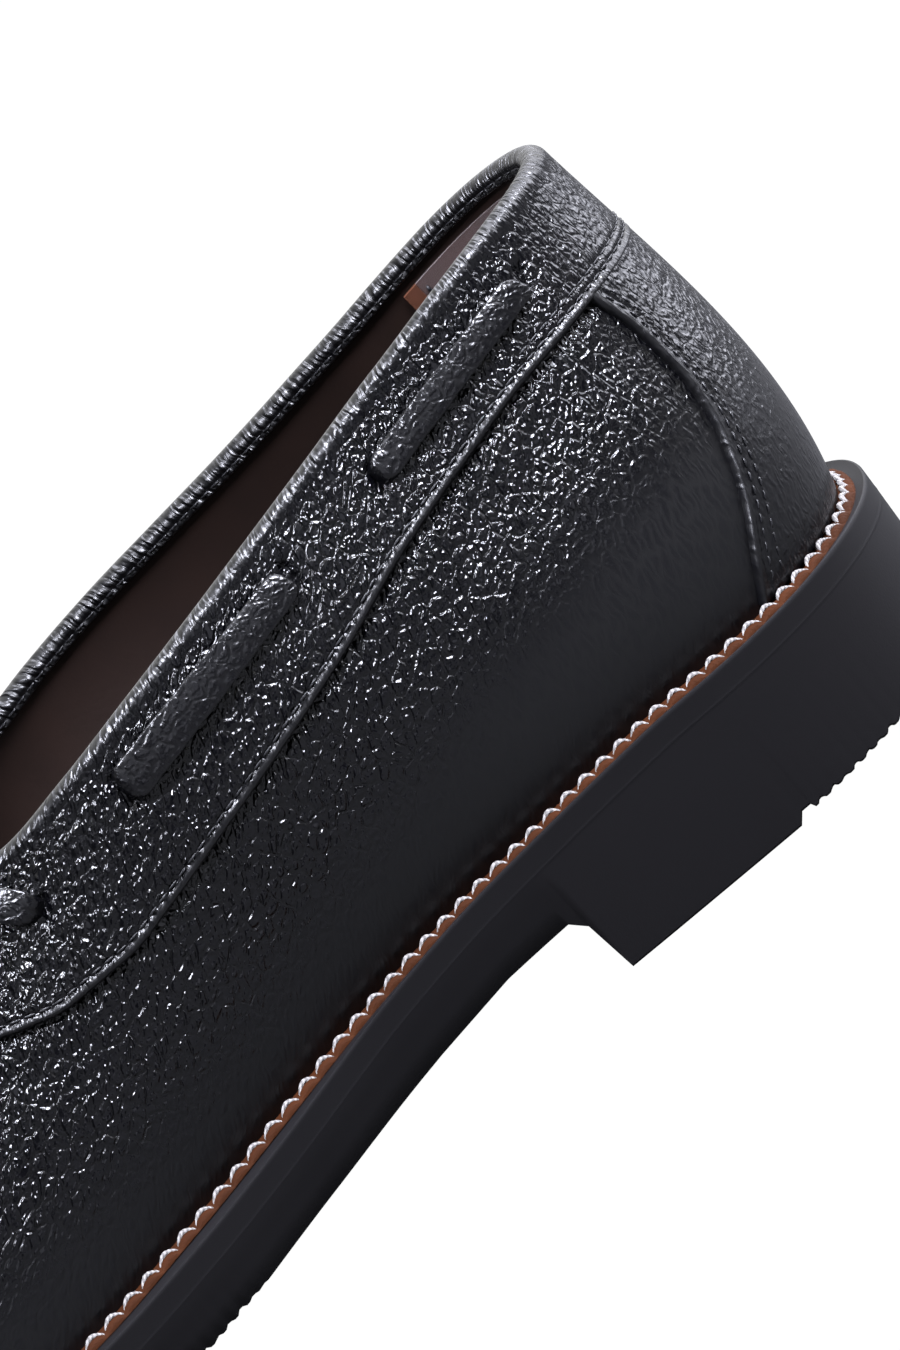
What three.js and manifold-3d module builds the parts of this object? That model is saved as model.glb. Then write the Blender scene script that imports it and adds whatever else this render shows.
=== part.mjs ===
// Tassel loafer, left shoe, in millimetres.
// +X points to the toe, +Y to the outer (lateral) side, +Z up, and the sole rests on z = 0.
// Lengths along the shoe are measured from the back of the heel and moved to the centre at the end.
// A "station" is a length along the sole's edge, and every section of the shoe belongs to one.

import * as THREE from 'three';
import { mergeVertices } from 'three/addons/utils/BufferGeometryUtils.js';
import Module from 'manifold-3d';

const wasm = await Module();
wasm.setup();

// Driving sizes
const SOLE_LENGTH = 300;
const HEEL_LENGTH = 69.5;
const HEEL_BREAST_SLANT = 3;
const HEEL_ROUND = 38;
const TOE_ROUND = 85;
const ROUND_POWER = 2.2;
const SOLE_FLARE = 1.8;
const RIM_BAND = 3.8;
const LEDGE_WIDTH = 2.4;
const WELT_THICKNESS = 1.3;
const WELT_UNDERCUT = 0.7;
const FEATHER_INSET = 6.2;
const WALL = 2.2;
const INSOLE_THICKNESS = 2.6;
const FIT_GAP = 0.3;
const OVERLAY_THICKNESS = 1;
const HOOK_DEPTH = 1;
const LIP_SPLAY = 0.15;
const COLLAR_STATION = 100;
const COLLAR_FRONT = 158;
const COLLAR_BACK = 6.1;
const COLLAR_HEEL_END = 45;
const COLLAR_SIDE_END = 104;
const BAND_FRONT_STATION = 146;
const LACE_WIDTH = 5;
const LACE_THICKNESS = 1.3;
const RUN_ARCH = 0.5;
const RUN_SPANS = 6;
const BAR_ARCH = 1.8;
const BAR_CLEARANCE = 2.6;
const BAR_SPANS = 10;

// How finely the round of the shoe is divided
const STATIONS_PER_SIDE = 44;
const COLUMNS = 2 * STATIONS_PER_SIDE;
const ROWS_BELOW_SEAM = 6;
const ROWS_ABOVE_SEAM = 5;
const ROWS = ROWS_BELOW_SEAM + ROWS_ABOVE_SEAM;

// Stations lie closer together towards the heel's back and the toe's tip. A place around the shoe
// is 0 at the heel, 1 at the toe, below 1 on the lateral side and above 1 on the medial side.
const stationAt = (around) => (SOLE_LENGTH * (1 - Math.cos(Math.PI * around))) / 2;
const aroundAt = (at) => Math.acos(1 - (2 * at) / SOLE_LENGTH) / Math.PI;
const sideOf = (around) => (((around % 2) + 2) % 2 <= 1 ? 1 : -1);

// The collar's front middle belongs to this column, so that the throat's edge is whole
const THROAT_COLUMN = 24;
const THROAT_STATION = stationAt(THROAT_COLUMN / STATIONS_PER_SIDE);

// Plan of the sole: half width before the round ends are drawn in, and the middle line's offset
const SOLE_PLAN = [
  { at: 0, half: 35.5, middle: 0.8 },
  { at: 38, half: 35.5, middle: 0.8 },
  { at: 60, half: 34.6, middle: 1.3 },
  { at: 80, half: 32.8, middle: 2.5 },
  { at: 100, half: 32.4, middle: 3.8 },
  { at: 120, half: 34.8, middle: 4.5 },
  { at: 140, half: 39.5, middle: 4.3 },
  { at: 160, half: 45.3, middle: 3.1 },
  { at: 180, half: 50.2, middle: 1.6 },
  { at: 200, half: 52.8, middle: 0.5 },
  { at: 215, half: 53.2, middle: -0.2 },
  { at: 250, half: 50.6, middle: -1.5 },
  { at: 300, half: 47, middle: -3.2 },
];

// Height of the sole's upper rim, and the rise from the rim to the seat that the welt lies on
const RIM_LINE = [
  { at: 0, rim: 25.9, rise: -0.6 },
  { at: 41, rim: 25.8, rise: -0.7 },
  { at: 55, rim: 25.0, rise: -0.8 },
  { at: 69, rim: 23.8, rise: -0.9 },
  { at: 83, rim: 22.4, rise: -0.8 },
  { at: 97, rim: 20.3, rise: -0.4 },
  { at: 111, rim: 17.5, rise: 0.1 },
  { at: 125, rim: 14.8, rise: 0.5 },
  { at: 139, rim: 12.8, rise: 0.5 },
  { at: 158, rim: 11.1, rise: 0.2 },
  { at: 180, rim: 10.4, rise: 0 },
  { at: 203, rim: 10.5, rise: 0 },
  { at: 225, rim: 11.4, rise: 0 },
  { at: 250, rim: 13.6, rise: 0 },
  { at: 275, rim: 16.9, rise: 0 },
  { at: 300, rim: 21.0, rise: 0 },
];

// Height of the sole's underside; a doubled length is a step, at the heel's notch and its breast
const UNDERSIDE = [
  { at: 0, height: 2.3 },
  { at: 5, height: 1.9 },
  { at: 35, height: 0.8 },
  { at: 35.4, height: 1.6 },
  { at: 37, height: 1.6 },
  { at: 38.4, height: 0 },
  { at: HEEL_LENGTH, height: 0 },
  { at: HEEL_LENGTH + 1, height: 8.6 },
  { at: HEEL_LENGTH + HEEL_BREAST_SLANT, height: 10.7 },
  { at: 83.7, height: 10.3 },
  { at: 97.7, height: 8.3 },
  { at: 111.7, height: 5.8 },
  { at: 125.6, height: 3.3 },
  { at: 136.7, height: 1.3 },
  { at: 148, height: 0 },
  { at: 204, height: 0 },
  { at: 225, height: 0.9 },
  { at: 250, height: 3.1 },
  { at: 275, height: 6.4 },
  { at: 300, height: 10.4 },
];

// Collar and vamp ridge: height of the wall's top edge, where it lies across the shoe, and how
// much higher the medial side is
const TOP_LINE = [
  { along: 6.1, height: 90.7, middle: 0.8, half: 22, medial: 0 },
  { along: 14, height: 90, middle: 0.8, half: 22, medial: 0 },
  { along: 20, height: 89.3, middle: 0.8, half: 22, medial: 0 },
  { along: 28, height: 88.1, middle: 0.8, half: 22, medial: 0 },
  { along: 42, height: 85.4, middle: 0.8, half: 22.4, medial: 0.3 },
  { along: 56, height: 82.7, middle: 0.9, half: 25.2, medial: 0.5 },
  { along: 70, height: 80, middle: 1.0, half: 28, medial: 0.9 },
  { along: 84, height: 77.4, middle: 1.1, half: 31, medial: 1.5 },
  { along: 98, height: 74.8, middle: 1.1, half: 33.2, medial: 2.2 },
  { along: 112, height: 72, middle: 0.8, half: 34.2, medial: 2.7 },
  { along: 126, height: 69.6, middle: 0.4, half: 34.4, medial: 2.9 },
  { along: 136, height: 69.4, middle: 0, half: 34.4, medial: 2.7 },
  { along: 145, height: 70.8, middle: -0.4, half: 34.4, medial: 1.8 },
  { along: 152, height: 72.5, middle: -0.7, half: 34.4, medial: 0.7 },
  { along: 158, height: 73.6, middle: -1, half: 34.4, medial: 0 },
  { along: 164, height: 72.6, middle: -1.4, half: 0, medial: 0 },
  { along: 172, height: 69.4, middle: -1.8, half: 0, medial: 0 },
  { along: 190, height: 61.2, middle: -2.6, half: 0, medial: 0 },
  { along: 216, height: 51.4, middle: -3.4, half: 0, medial: 0 },
  { along: 240, height: 44.8, middle: -3.8, half: 0, medial: 0 },
  { along: 258, height: 40.8, middle: -4, half: 0, medial: 0 },
  { along: 267, height: 38.8, middle: -4, half: 0, medial: 0 },
];

// Where along the shoe the wall of a vamp station reaches the ridge
const RIDGE_MAP = [
  { at: THROAT_STATION, along: COLLAR_FRONT },
  { at: 200, along: 187 },
  { at: 230, along: 216 },
  { at: 260, along: 241 },
  { at: 285, along: 259 },
  { at: 300, along: 267 },
];

// Shape of the wall at each station: it leaves the feather line leaning out by "lean" degrees,
// with a handle of "rise", and comes to its top edge from "tuck" degrees below level over "reach".
// "turn" is how far that upper handle follows the sole edge's direction, "push" how far to the toe.
const WALL_SHAPE = [
  { at: 0, lean: 20, rise: 22, tuck: 84, reach: 22, turn: 1, push: 0 },
  { at: 38, lean: 20, rise: 21.5, tuck: 78, reach: 22, turn: 1, push: 0 },
  { at: 60, lean: 21, rise: 21.5, tuck: 76, reach: 21, turn: 1, push: 0 },
  { at: 100, lean: 24, rise: 21, tuck: 77, reach: 18, turn: 0.5, push: 0 },
  { at: 118, lean: 23, rise: 22, tuck: 66, reach: 19, turn: 0, push: 0 },
  { at: 130, lean: 22, rise: 23, tuck: 50, reach: 20, turn: 0, push: 0.06 },
  { at: 150, lean: 18, rise: 24, tuck: 22, reach: 25, turn: 0, push: 0.24 },
  { at: 171, lean: 15, rise: 26, tuck: 3, reach: 29, turn: 0, push: 0.24 },
  { at: 200, lean: 14, rise: 20, tuck: 0, reach: 31, turn: 0, push: 0.16 },
  { at: 230, lean: 12, rise: 17, tuck: 0, reach: 29, turn: 0.4, push: 0.06 },
  { at: 260, lean: 10, rise: 14.5, tuck: 0, reach: 25, turn: 1, push: 0 },
  { at: 285, lean: 8, rise: 12, tuck: 0, reach: 20, turn: 1, push: 0 },
  { at: 300, lean: 6, rise: 11, tuck: 0, reach: 17, turn: 1, push: 0 },
];

// Height of the long seam: the collar band's lower edge, running on as the apron's edge
const SEAM_LINE = [
  { along: 0, height: 74.2 },
  { along: 14, height: 73.5 },
  { along: 28, height: 72.2 },
  { along: 42, height: 69.2 },
  { along: 56, height: 66 },
  { along: 70, height: 61.5 },
  { along: 84, height: 57.8 },
  { along: 98, height: 54.4 },
  { along: 112, height: 51 },
  { along: 121, height: 49.3 },
  { along: 131, height: 49.2 },
  { along: 139, height: 50.9 },
  { along: 146, height: 53.4 },
  { along: 156, height: 55.6 },
  { along: 168, height: 56 },
  { along: 185, height: 52.5 },
  { along: 205, height: 47.5 },
  { along: 230, height: 41.8 },
  { along: 255, height: 37.8 },
  { along: 280, height: 35.4 },
  { along: 300, height: 34.8 },
];

// Front edge of the heel counter, from the welt up to the band, as a station on the sole's edge
const COUNTER_EDGE = [
  { share: 0, at: 21.6 },
  { share: 0.14, at: 18 },
  { share: 0.3, at: 13.4 },
  { share: 0.42, at: 10.9 },
  { share: 0.56, at: 8.9 },
  { share: 0.72, at: 8.1 },
  { share: 0.86, at: 8.1 },
  { share: 1, at: 9.1 },
];

// Flat lace: each run shows between two slots of the band, given along the shoe and in height
const LACE_RUNS = [
  { name: 'rear', from: { along: 18.6, height: 82.6 }, to: { along: 51.7, height: 76.1 } },
  { name: 'front', from: { along: 69.6, height: 74.1 }, to: { along: 106.1, height: 67.5 } },
];
const LACE_BAR_START = { along: 126, height: 61.5 };
const KNOT_ALONG = 175;
const KNOT_SIZE = { along: 8, across: 7, up: 3.6 };

// Tassel: a wrapped cap and a skirt of cut strips
const TASSEL = { cap: 9, skirt: 25, capRadius: 4.2, skirtRadius: 6.2, strips: 12, flatness: 0.7 };
const TASSEL_TIP = { along: 222, across: 19 };
const TASSEL_CLEARANCE = 0.8;
const LACE_END_LENGTH = 12;
const KNOT_WRAP = 0.9;
const SIDES = [{ name: 'lateral', side: 1 }, { name: 'medial', side: -1 }];

// Colours
const BLACK_LEATHER = { color: 0x1b1b1f, roughness: 0.38, metalness: 0 };
const LACE_LEATHER = { color: 0x19191d, roughness: 0.42, metalness: 0 };
const SOLE_RUBBER = { color: 0x242328, roughness: 0.85, metalness: 0 };
const WELT_LEATHER = { color: 0x7f462b, roughness: 0.6, metalness: 0 };
const INSOLE_LEATHER = { color: 0x3a2a23, roughness: 0.6, metalness: 0 };

// A smooth curve through one column of a table, without overshoot between its rows
function columnCurve(rows, key, value) {
  const x = rows.map((row) => row[key]);
  const y = rows.map((row) => row[value]);
  const secants = x.slice(1).map((end, i) => (y[i + 1] - y[i]) / (end - x[i]));
  const slopes = y.map((_, i) => {
    const before = secants[Math.max(i - 1, 0)];
    const after = secants[Math.min(i, secants.length - 1)];
    return before * after <= 0 ? 0 : (2 * before * after) / (before + after);
  });
  return (at) => {
    const inside = THREE.MathUtils.clamp(at, x[0], x.at(-1));
    const next = x.findIndex((value_) => value_ >= inside && value_ > x[0]);
    const i = Math.max(next - 1, 0);
    const span = x[i + 1] - x[i];
    const t = (inside - x[i]) / span;
    const rise = (2 * t - 3) * t * t;
    return (1 + rise) * y[i] - rise * y[i + 1]
      + (t - 1) * t * span * ((t - 1) * slopes[i] + t * slopes[i + 1]);
  };
}

const planHalf = columnCurve(SOLE_PLAN, 'at', 'half');
const planMiddle = columnCurve(SOLE_PLAN, 'at', 'middle');
const rimHeight = columnCurve(RIM_LINE, 'at', 'rim');
const seatRise = columnCurve(RIM_LINE, 'at', 'rise');
const topHeight = columnCurve(TOP_LINE, 'along', 'height');
const topMiddle = columnCurve(TOP_LINE, 'along', 'middle');
const topHalf = columnCurve(TOP_LINE, 'along', 'half');
const medialRise = columnCurve(TOP_LINE, 'along', 'medial');
const ridgeAlong = columnCurve(RIDGE_MAP, 'at', 'along');
const seamHeight = columnCurve(SEAM_LINE, 'along', 'height');
const counterEdge = columnCurve(COUNTER_EDGE, 'share', 'at');
const wallLean = columnCurve(WALL_SHAPE, 'at', 'lean');
const wallRise = columnCurve(WALL_SHAPE, 'at', 'rise');
const wallTuck = columnCurve(WALL_SHAPE, 'at', 'tuck');
const wallReach = columnCurve(WALL_SHAPE, 'at', 'reach');
const wallTurn = columnCurve(WALL_SHAPE, 'at', 'turn');
const wallPush = columnCurve(WALL_SHAPE, 'at', 'push');

// A round end that swells from 0 to 1, as a quarter of a superellipse
function roundEnd(t) {
  const inside = THREE.MathUtils.clamp(t, 0, 1);
  return (1 - (1 - inside) ** ROUND_POWER) ** (1 / ROUND_POWER);
}

const seatHeight = (at) => rimHeight(at) + seatRise(at);

function soleEdge(around) {
  const at = stationAt(around);
  const half = planHalf(at) * roundEnd(at / HEEL_ROUND) * roundEnd((SOLE_LENGTH - at) / TOE_ROUND);
  return new THREE.Vector2(at, planMiddle(at) + sideOf(around) * half);
}

function outwardAt(around) {
  const step = 0.002;
  const ahead = soleEdge(around + step).sub(soleEdge(around - step));
  return new THREE.Vector2(-ahead.y, ahead.x).normalize();
}

function edgePoint(around, inset, height) {
  const point = soleEdge(around).addScaledVector(outwardAt(around), -inset);
  return new THREE.Vector3(point.x, point.y, height);
}

// Top edge of the wall: the collar's outline behind the throat, the vamp's ridge in front of it
function topPoint(around) {
  const at = stationAt(around);
  const side = sideOf(around);
  let along = ridgeAlong(at);
  let across = 0;
  if (at < COLLAR_STATION) {
    along = at < HEEL_ROUND
      ? THREE.MathUtils.mapLinear(at, 0, HEEL_ROUND, COLLAR_BACK, COLLAR_HEEL_END)
      : THREE.MathUtils.mapLinear(at, HEEL_ROUND, COLLAR_STATION, COLLAR_HEEL_END, COLLAR_SIDE_END);
    across = topHalf(along) * roundEnd((along - COLLAR_BACK) / (COLLAR_HEEL_END - COLLAR_BACK));
  } else if (at < THROAT_STATION) {
    const turn = ((at - COLLAR_STATION) / (THROAT_STATION - COLLAR_STATION)) * (Math.PI / 2);
    along = COLLAR_SIDE_END + (COLLAR_FRONT - COLLAR_SIDE_END) * Math.sin(turn);
    across = topHalf(along) * Math.cos(turn) ** (2 / ROUND_POWER);
  }
  const height = topHeight(along) + (side < 0 ? medialRise(along) : 0);
  return new THREE.Vector3(along, topMiddle(along) + side * across, height);
}

// The wall from the feather line up to its top edge, at one place around the shoe
function wallCurve(around) {
  const at = stationAt(around);
  const outward = outwardAt(around);
  const foot = edgePoint(around, FEATHER_INSET, seatHeight(at) + FIT_GAP);
  const top = topPoint(around);
  const lean = THREE.MathUtils.degToRad(wallLean(at));
  const tuck = THREE.MathUtils.degToRad(wallTuck(at));
  const ridgeSlope = at < THROAT_STATION ? 0 : (topHeight(top.x + 1) - topHeight(top.x - 1)) / 2;
  const lower = new THREE.Vector3(outward.x * Math.sin(lean), outward.y * Math.sin(lean), Math.cos(lean));
  const heading = new THREE.Vector2(outward.x * wallTurn(at) + wallPush(at), outward.y)
    .normalize()
    .multiplyScalar(Math.cos(tuck));
  const upper = new THREE.Vector3(heading.x, heading.y, ridgeSlope * heading.x - Math.sin(tuck));
  return new THREE.CubicBezierCurve3(
    foot,
    foot.clone().addScaledVector(lower, wallRise(at)),
    top.clone().addScaledVector(upper, wallReach(at)),
    top,
  );
}

// Share of the wall curve, from a first one on, up to which its points pass a test
function lastShare(curve, passes, first = 0) {
  let low = first;
  let high = 1;
  for (let pass = 0; pass < 24; pass += 1) {
    const share = (low + high) / 2;
    if (passes(curve.getPoint(share))) {
      low = share;
    } else {
      high = share;
    }
  }
  return low;
}

const seamShare = (around) => lastShare(wallCurve(around), (point) => point.z < seamHeight(point.x));

function rowShare(seam, row) {
  return row <= ROWS_BELOW_SEAM
    ? (seam * row) / ROWS_BELOW_SEAM
    : seam + ((1 - seam) * (row - ROWS_BELOW_SEAM)) / ROWS_ABOVE_SEAM;
}

// The skin: the upper's outer face as one grid of columns and rows, both sides joined on the ridge
function makeSkin() {
  const points = [];
  const names = new Map();
  const index = (column, row) => {
    const turned = ((column % COLUMNS) + COLUMNS) % COLUMNS;
    const mirrored = COLUMNS - turned;
    const onRidge = row === ROWS && Math.min(turned, mirrored) >= THROAT_COLUMN;
    const key = `${onRidge ? Math.min(turned, mirrored) : turned}/${row}`;
    return names.get(key) ?? key;
  };
  for (let column = 0; column < COLUMNS; column += 1) {
    const around = column / STATIONS_PER_SIDE;
    const curve = wallCurve(around);
    const seam = seamShare(around);
    for (let row = 0; row <= ROWS; row += 1) {
      const key = index(column, row);
      if (typeof key === 'string') {
        names.set(key, points.length);
        points.push(curve.getPoint(rowShare(seam, row)));
      }
    }
  }
  const normals = points.map(() => new THREE.Vector3());
  const face = new THREE.Triangle();
  const facing = new THREE.Vector3();
  skinFaces(index, 0, COLUMNS, 0, ROWS).forEach(([a, b, c]) => {
    face.set(points[a], points[b], points[c]).getNormal(facing);
    facing.multiplyScalar(face.getArea());
    [a, b, c].forEach((corner) => normals[corner].add(facing));
  });
  for (let column = 0; column < COLUMNS; column += 1) {
    normals[index(column, 0)].z = 0;
  }
  normals.forEach((normal) => normal.normalize());
  return { points, normals, index };
}

// The triangles of a block of the skin, facing out
function skinFaces(index, firstColumn, lastColumn, firstRow, lastRow) {
  const faces = [];
  for (let column = firstColumn; column < lastColumn; column += 1) {
    for (let row = firstRow; row < lastRow; row += 1) {
      const a = index(column, row);
      const b = index(column, row + 1);
      const c = index(column + 1, row + 1);
      const d = index(column + 1, row);
      faces.push([a, b, c], [a, c, d]);
    }
  }
  return faces;
}

// A closed body from points and triangles
function solidGeometry(points, faces) {
  const geometry = new THREE.BufferGeometry();
  const kept = faces.filter(([a, b, c]) => a !== b && b !== c && c !== a);
  geometry.setAttribute('position', new THREE.Float32BufferAttribute(points.flatMap((p) => p.toArray()), 3));
  geometry.setIndex(kept.flat());
  const merged = mergeVertices(geometry, 1e-5);
  merged.computeVertexNormals();
  return merged;
}

// A patch of surface given a thickness: its outer and inner faces, closed along every open edge
function thicken(points, normals, faces, outer, inner) {
  const used = [...new Set(faces.flat())];
  const order = new Map(used.map((old, i) => [old, i]));
  const count = used.length;
  const outside = used.map((old) => points[old].clone().addScaledVector(normals[old], outer));
  const inside = used.map((old) => points[old].clone().addScaledVector(normals[old], inner));
  const top = faces.map((corners) => corners.map((corner) => order.get(corner)));
  const bottom = top.map(([a, b, c]) => [a + count, c + count, b + count]);
  const edges = new Set(top.flatMap(([a, b, c]) => [`${a},${b}`, `${b},${c}`, `${c},${a}`]));
  const rims = [...edges]
    .map((edge) => edge.split(',').map(Number))
    .filter(([a, b]) => !edges.has(`${b},${a}`))
    .flatMap(([a, b]) => [[b, a, a + count], [b, a + count, b + count]]);
  return solidGeometry([...outside, ...inside], [...top, ...bottom, ...rims]);
}

// A closed section carried along a row of places; a ring closes on itself, a strip has two caps.
// From the section's point "turnFrom" on, each four-sided face is split along its other diagonal.
function loft(sections, isRing, turnFrom = Infinity) {
  const size = sections[0].length;
  const faces = [];
  const spans = isRing ? sections.length : sections.length - 1;
  for (let i = 0; i < spans; i += 1) {
    const here = i * size;
    const there = ((i + 1) % sections.length) * size;
    for (let j = 0; j < size; j += 1) {
      const next = (j + 1) % size;
      if (j < turnFrom) {
        faces.push([here + j, here + next, there + next], [here + j, there + next, there + j]);
      } else {
        faces.push([here + j, here + next, there + j], [here + next, there + next, there + j]);
      }
    }
  }
  if (!isRing) {
    const last = (sections.length - 1) * size;
    const cap = sectionTriangles(sections[0]);
    cap.forEach(([a, b, c]) => faces.push([c, b, a]));
    sectionTriangles(sections.at(-1)).forEach(([a, b, c]) => faces.push([a + last, b + last, c + last]));
  }
  return solidGeometry(sections.flat(), faces);
}

// Triangles that fill a section, worked out in its own plane
function sectionTriangles(section) {
  const normal = new THREE.Vector3();
  section.forEach((point, i) => {
    normal.add(new THREE.Vector3().crossVectors(point, section[(i + 1) % section.length]));
  });
  normal.normalize();
  const turn = new THREE.Quaternion().setFromUnitVectors(normal, new THREE.Vector3(0, 0, 1));
  const flat = section.map((point) => point.clone().applyQuaternion(turn));
  const outline = flat.map((point) => new THREE.Vector2(point.x, point.y));
  return THREE.ShapeUtils.triangulateShape(outline, []);
}

// A plate with a round outline: side walls through levels of points, with caps across the shoe
function plate(arounds, levels) {
  const points = levels.flatMap((level) => arounds.map((around) => level(around)));
  const count = arounds.length;
  const faces = [];
  for (let level = 0; level < levels.length - 1; level += 1) {
    for (let i = 0; i < count; i += 1) {
      const next = (i + 1) % count;
      const a = level * count + i;
      const b = level * count + next;
      faces.push([a, a + count, b + count], [a, b + count, b]);
    }
  }
  const top = (levels.length - 1) * count;
  for (let i = 0; i < count / 2; i += 1) {
    const mirror = (count - i) % count;
    const next = i + 1;
    const mirrorNext = count - next;
    faces.push([mirror, i, next], [mirror, next, mirrorNext]);
    faces.push([top + i, top + mirror, top + mirrorNext], [top + i, top + mirrorNext, top + next]);
  }
  return solidGeometry(points, faces);
}

function evenArounds() {
  return Array.from({ length: COLUMNS }, (_, i) => i / STATIONS_PER_SIDE);
}

// The sole's own stations: even ones, with those of the notch and the breast put in
function soleArounds() {
  const steps = UNDERSIDE.map((row) => row.at).filter((at) => at > 30 && at < 80);
  const free = evenArounds().slice(1, STATIONS_PER_SIDE).map(stationAt);
  const spaced = free.filter((at) => steps.every((step) => Math.abs(step - at) > 2));
  const lateral = [...spaced, ...steps].sort((a, b) => a - b).map(aroundAt);
  const medial = lateral.map((around) => 2 - around).reverse();
  return [0, ...lateral, 1, ...medial];
}

// Height of the underside, straight between the table's rows
function undersideHeight(at) {
  const next = Math.max(UNDERSIDE.findIndex((row) => row.at >= at - 1e-9), 1);
  const low = UNDERSIDE[next - 1];
  const high = UNDERSIDE[next];
  return THREE.MathUtils.mapLinear(at, low.at, high.at, low.height, high.height);
}

function outsoleGeometry() {
  return plate(soleArounds(), [
    (around) => edgePoint(around, SOLE_FLARE, undersideHeight(stationAt(around))),
    (around) => edgePoint(around, 0.25, rimHeight(stationAt(around)) - RIM_BAND),
    (around) => edgePoint(around, 0, rimHeight(stationAt(around))),
    (around) => edgePoint(around, LEDGE_WIDTH, seatHeight(stationAt(around))),
  ]);
}

function weltGeometry() {
  const inner = FEATHER_INSET - FIT_GAP;
  const sections = evenArounds().map((around) => {
    const low = seatHeight(stationAt(around)) + FIT_GAP;
    const high = low + WELT_THICKNESS;
    return [
      edgePoint(around, LEDGE_WIDTH, low),
      edgePoint(around, LEDGE_WIDTH, high),
      edgePoint(around, inner - WELT_UNDERCUT, high),
      edgePoint(around, inner, low),
    ];
  });
  return loft(sections, true);
}

function insoleGeometry() {
  const inset = FEATHER_INSET + WALL + 2 * FIT_GAP;
  const low = (around) => seatHeight(stationAt(around)) + FIT_GAP;
  return plate(evenArounds(), [
    (around) => edgePoint(around, inset, low(around)),
    (around) => edgePoint(around, inset, low(around) + INSOLE_THICKNESS),
  ]);
}

function upperGeometry(skin) {
  const faces = skinFaces(skin.index, 0, COLUMNS, 0, ROWS);
  return thicken(skin.points, skin.normals, faces, 0, -WALL);
}

const bandColumn = Math.floor(aroundAt(BAND_FRONT_STATION) * STATIONS_PER_SIDE);

// The collar band: a strip outside the wall from the seam up, folded over the top edge and down inside
function bandGeometry(skin) {
  const near = FIT_GAP;
  const far = FIT_GAP + OVERLAY_THICKNESS;
  const innerRowCount = ROWS_ABOVE_SEAM + 1;
  const sections = [];
  for (let column = -bandColumn; column <= bandColumn; column += 1) {
    const at = (row) => skin.points[skin.index(column, row)];
    const out = (row) => skin.normals[skin.index(column, row)];
    const offset = (row, distance) => at(row).clone().addScaledVector(out(row), distance);
    const top = at(ROWS);
    const normal = out(ROWS);
    const ahead = skin.points[skin.index(column + 1, ROWS)].clone();
    const edge = ahead.sub(skin.points[skin.index(column - 1, ROWS)]).normalize();
    const up = new THREE.Vector3().crossVectors(normal, edge).negate().normalize();
    const centre = top.clone().addScaledVector(normal, -WALL / 2);
    const turned = (radius, degrees, drop) => {
      const angle = THREE.MathUtils.degToRad(degrees);
      return centre.clone()
        .addScaledVector(normal, radius * Math.cos(angle))
        .addScaledVector(up, radius * Math.sin(angle) - drop);
    };
    const outerRows = [];
    const innerRows = [];
    for (let row = ROWS_BELOW_SEAM; row <= ROWS; row += 1) {
      outerRows.push(offset(row, far));
      innerRows.unshift(offset(row, near));
    }
    const outerRadius = WALL / 2 + far;
    const innerRadius = WALL / 2 + near;
    sections.push([
      ...outerRows,
      turned(outerRadius, 60, 0),
      turned(outerRadius, 120, 0),
      turned(outerRadius, 180, 0),
      turned(outerRadius + LIP_SPLAY, 180, HOOK_DEPTH),
      turned(innerRadius + LIP_SPLAY, 180, HOOK_DEPTH),
      turned(innerRadius, 180, 0),
      turned(innerRadius, 90, 0),
      ...innerRows,
    ]);
  }
  return loft(sections, false, sections[0].length - innerRowCount);
}

// The apron: an overlay on the vamp's top, inside the long seam, up to the throat's edge
function apronGeometry(skin) {
  const faces = skinFaces(skin.index, bandColumn, COLUMNS - bandColumn, ROWS_BELOW_SEAM, ROWS);
  const points = skin.points.map((point) => point.clone());
  const shiftEdge = (column, towards) => {
    for (let row = ROWS_BELOW_SEAM; row <= ROWS; row += 1) {
      const place = skin.index(column, row);
      const target = skin.points[skin.index(towards, row)];
      const away = target.clone().sub(skin.points[place]).normalize();
      points[place].addScaledVector(away, 2 * FIT_GAP);
    }
  };
  shiftEdge(bandColumn, bandColumn + 1);
  shiftEdge(COLUMNS - bandColumn, COLUMNS - bandColumn - 1);
  return thicken(points, skin.normals, faces, FIT_GAP + OVERLAY_THICKNESS, FIT_GAP);
}

// A point of the wall and its outward direction, at any place around and any share of the height
function wallFrame(around, share) {
  const step = 0.002;
  const point = wallCurve(around).getPoint(share);
  const ahead = wallCurve(around + step).getPoint(share).sub(wallCurve(around - step).getPoint(share));
  const low = wallCurve(around).getPoint(Math.max(share - 0.01, 0));
  const up = wallCurve(around).getPoint(Math.min(share + 0.01, 1)).sub(low);
  return { point, normal: new THREE.Vector3().crossVectors(up, ahead).normalize() };
}

// The heel counter: an overlay round the back, under the band, with its own curved front edge
function counterGeometry() {
  const columns = 18;
  const points = [];
  const normals = [];
  for (let column = 0; column <= columns; column += 1) {
    const spread = (2 * column) / columns - 1;
    for (let row = 0; row <= ROWS_BELOW_SEAM; row += 1) {
      const level = row === 0 ? 0.4 : row;
      const edge = aroundAt(counterEdge(level / ROWS_BELOW_SEAM));
      const around = spread * edge;
      const trimmed = row === ROWS_BELOW_SEAM ? level - 0.1 : level;
      const frame = wallFrame(around, (seamShare(around) * trimmed) / ROWS_BELOW_SEAM);
      points.push(frame.point);
      normals.push(frame.normal);
    }
  }
  const index = (column, row) => column * (ROWS_BELOW_SEAM + 1) + row;
  const faces = skinFaces(index, 0, columns, 0, ROWS_BELOW_SEAM);
  return thicken(points, normals, faces, FIT_GAP + OVERLAY_THICKNESS, FIT_GAP);
}

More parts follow.
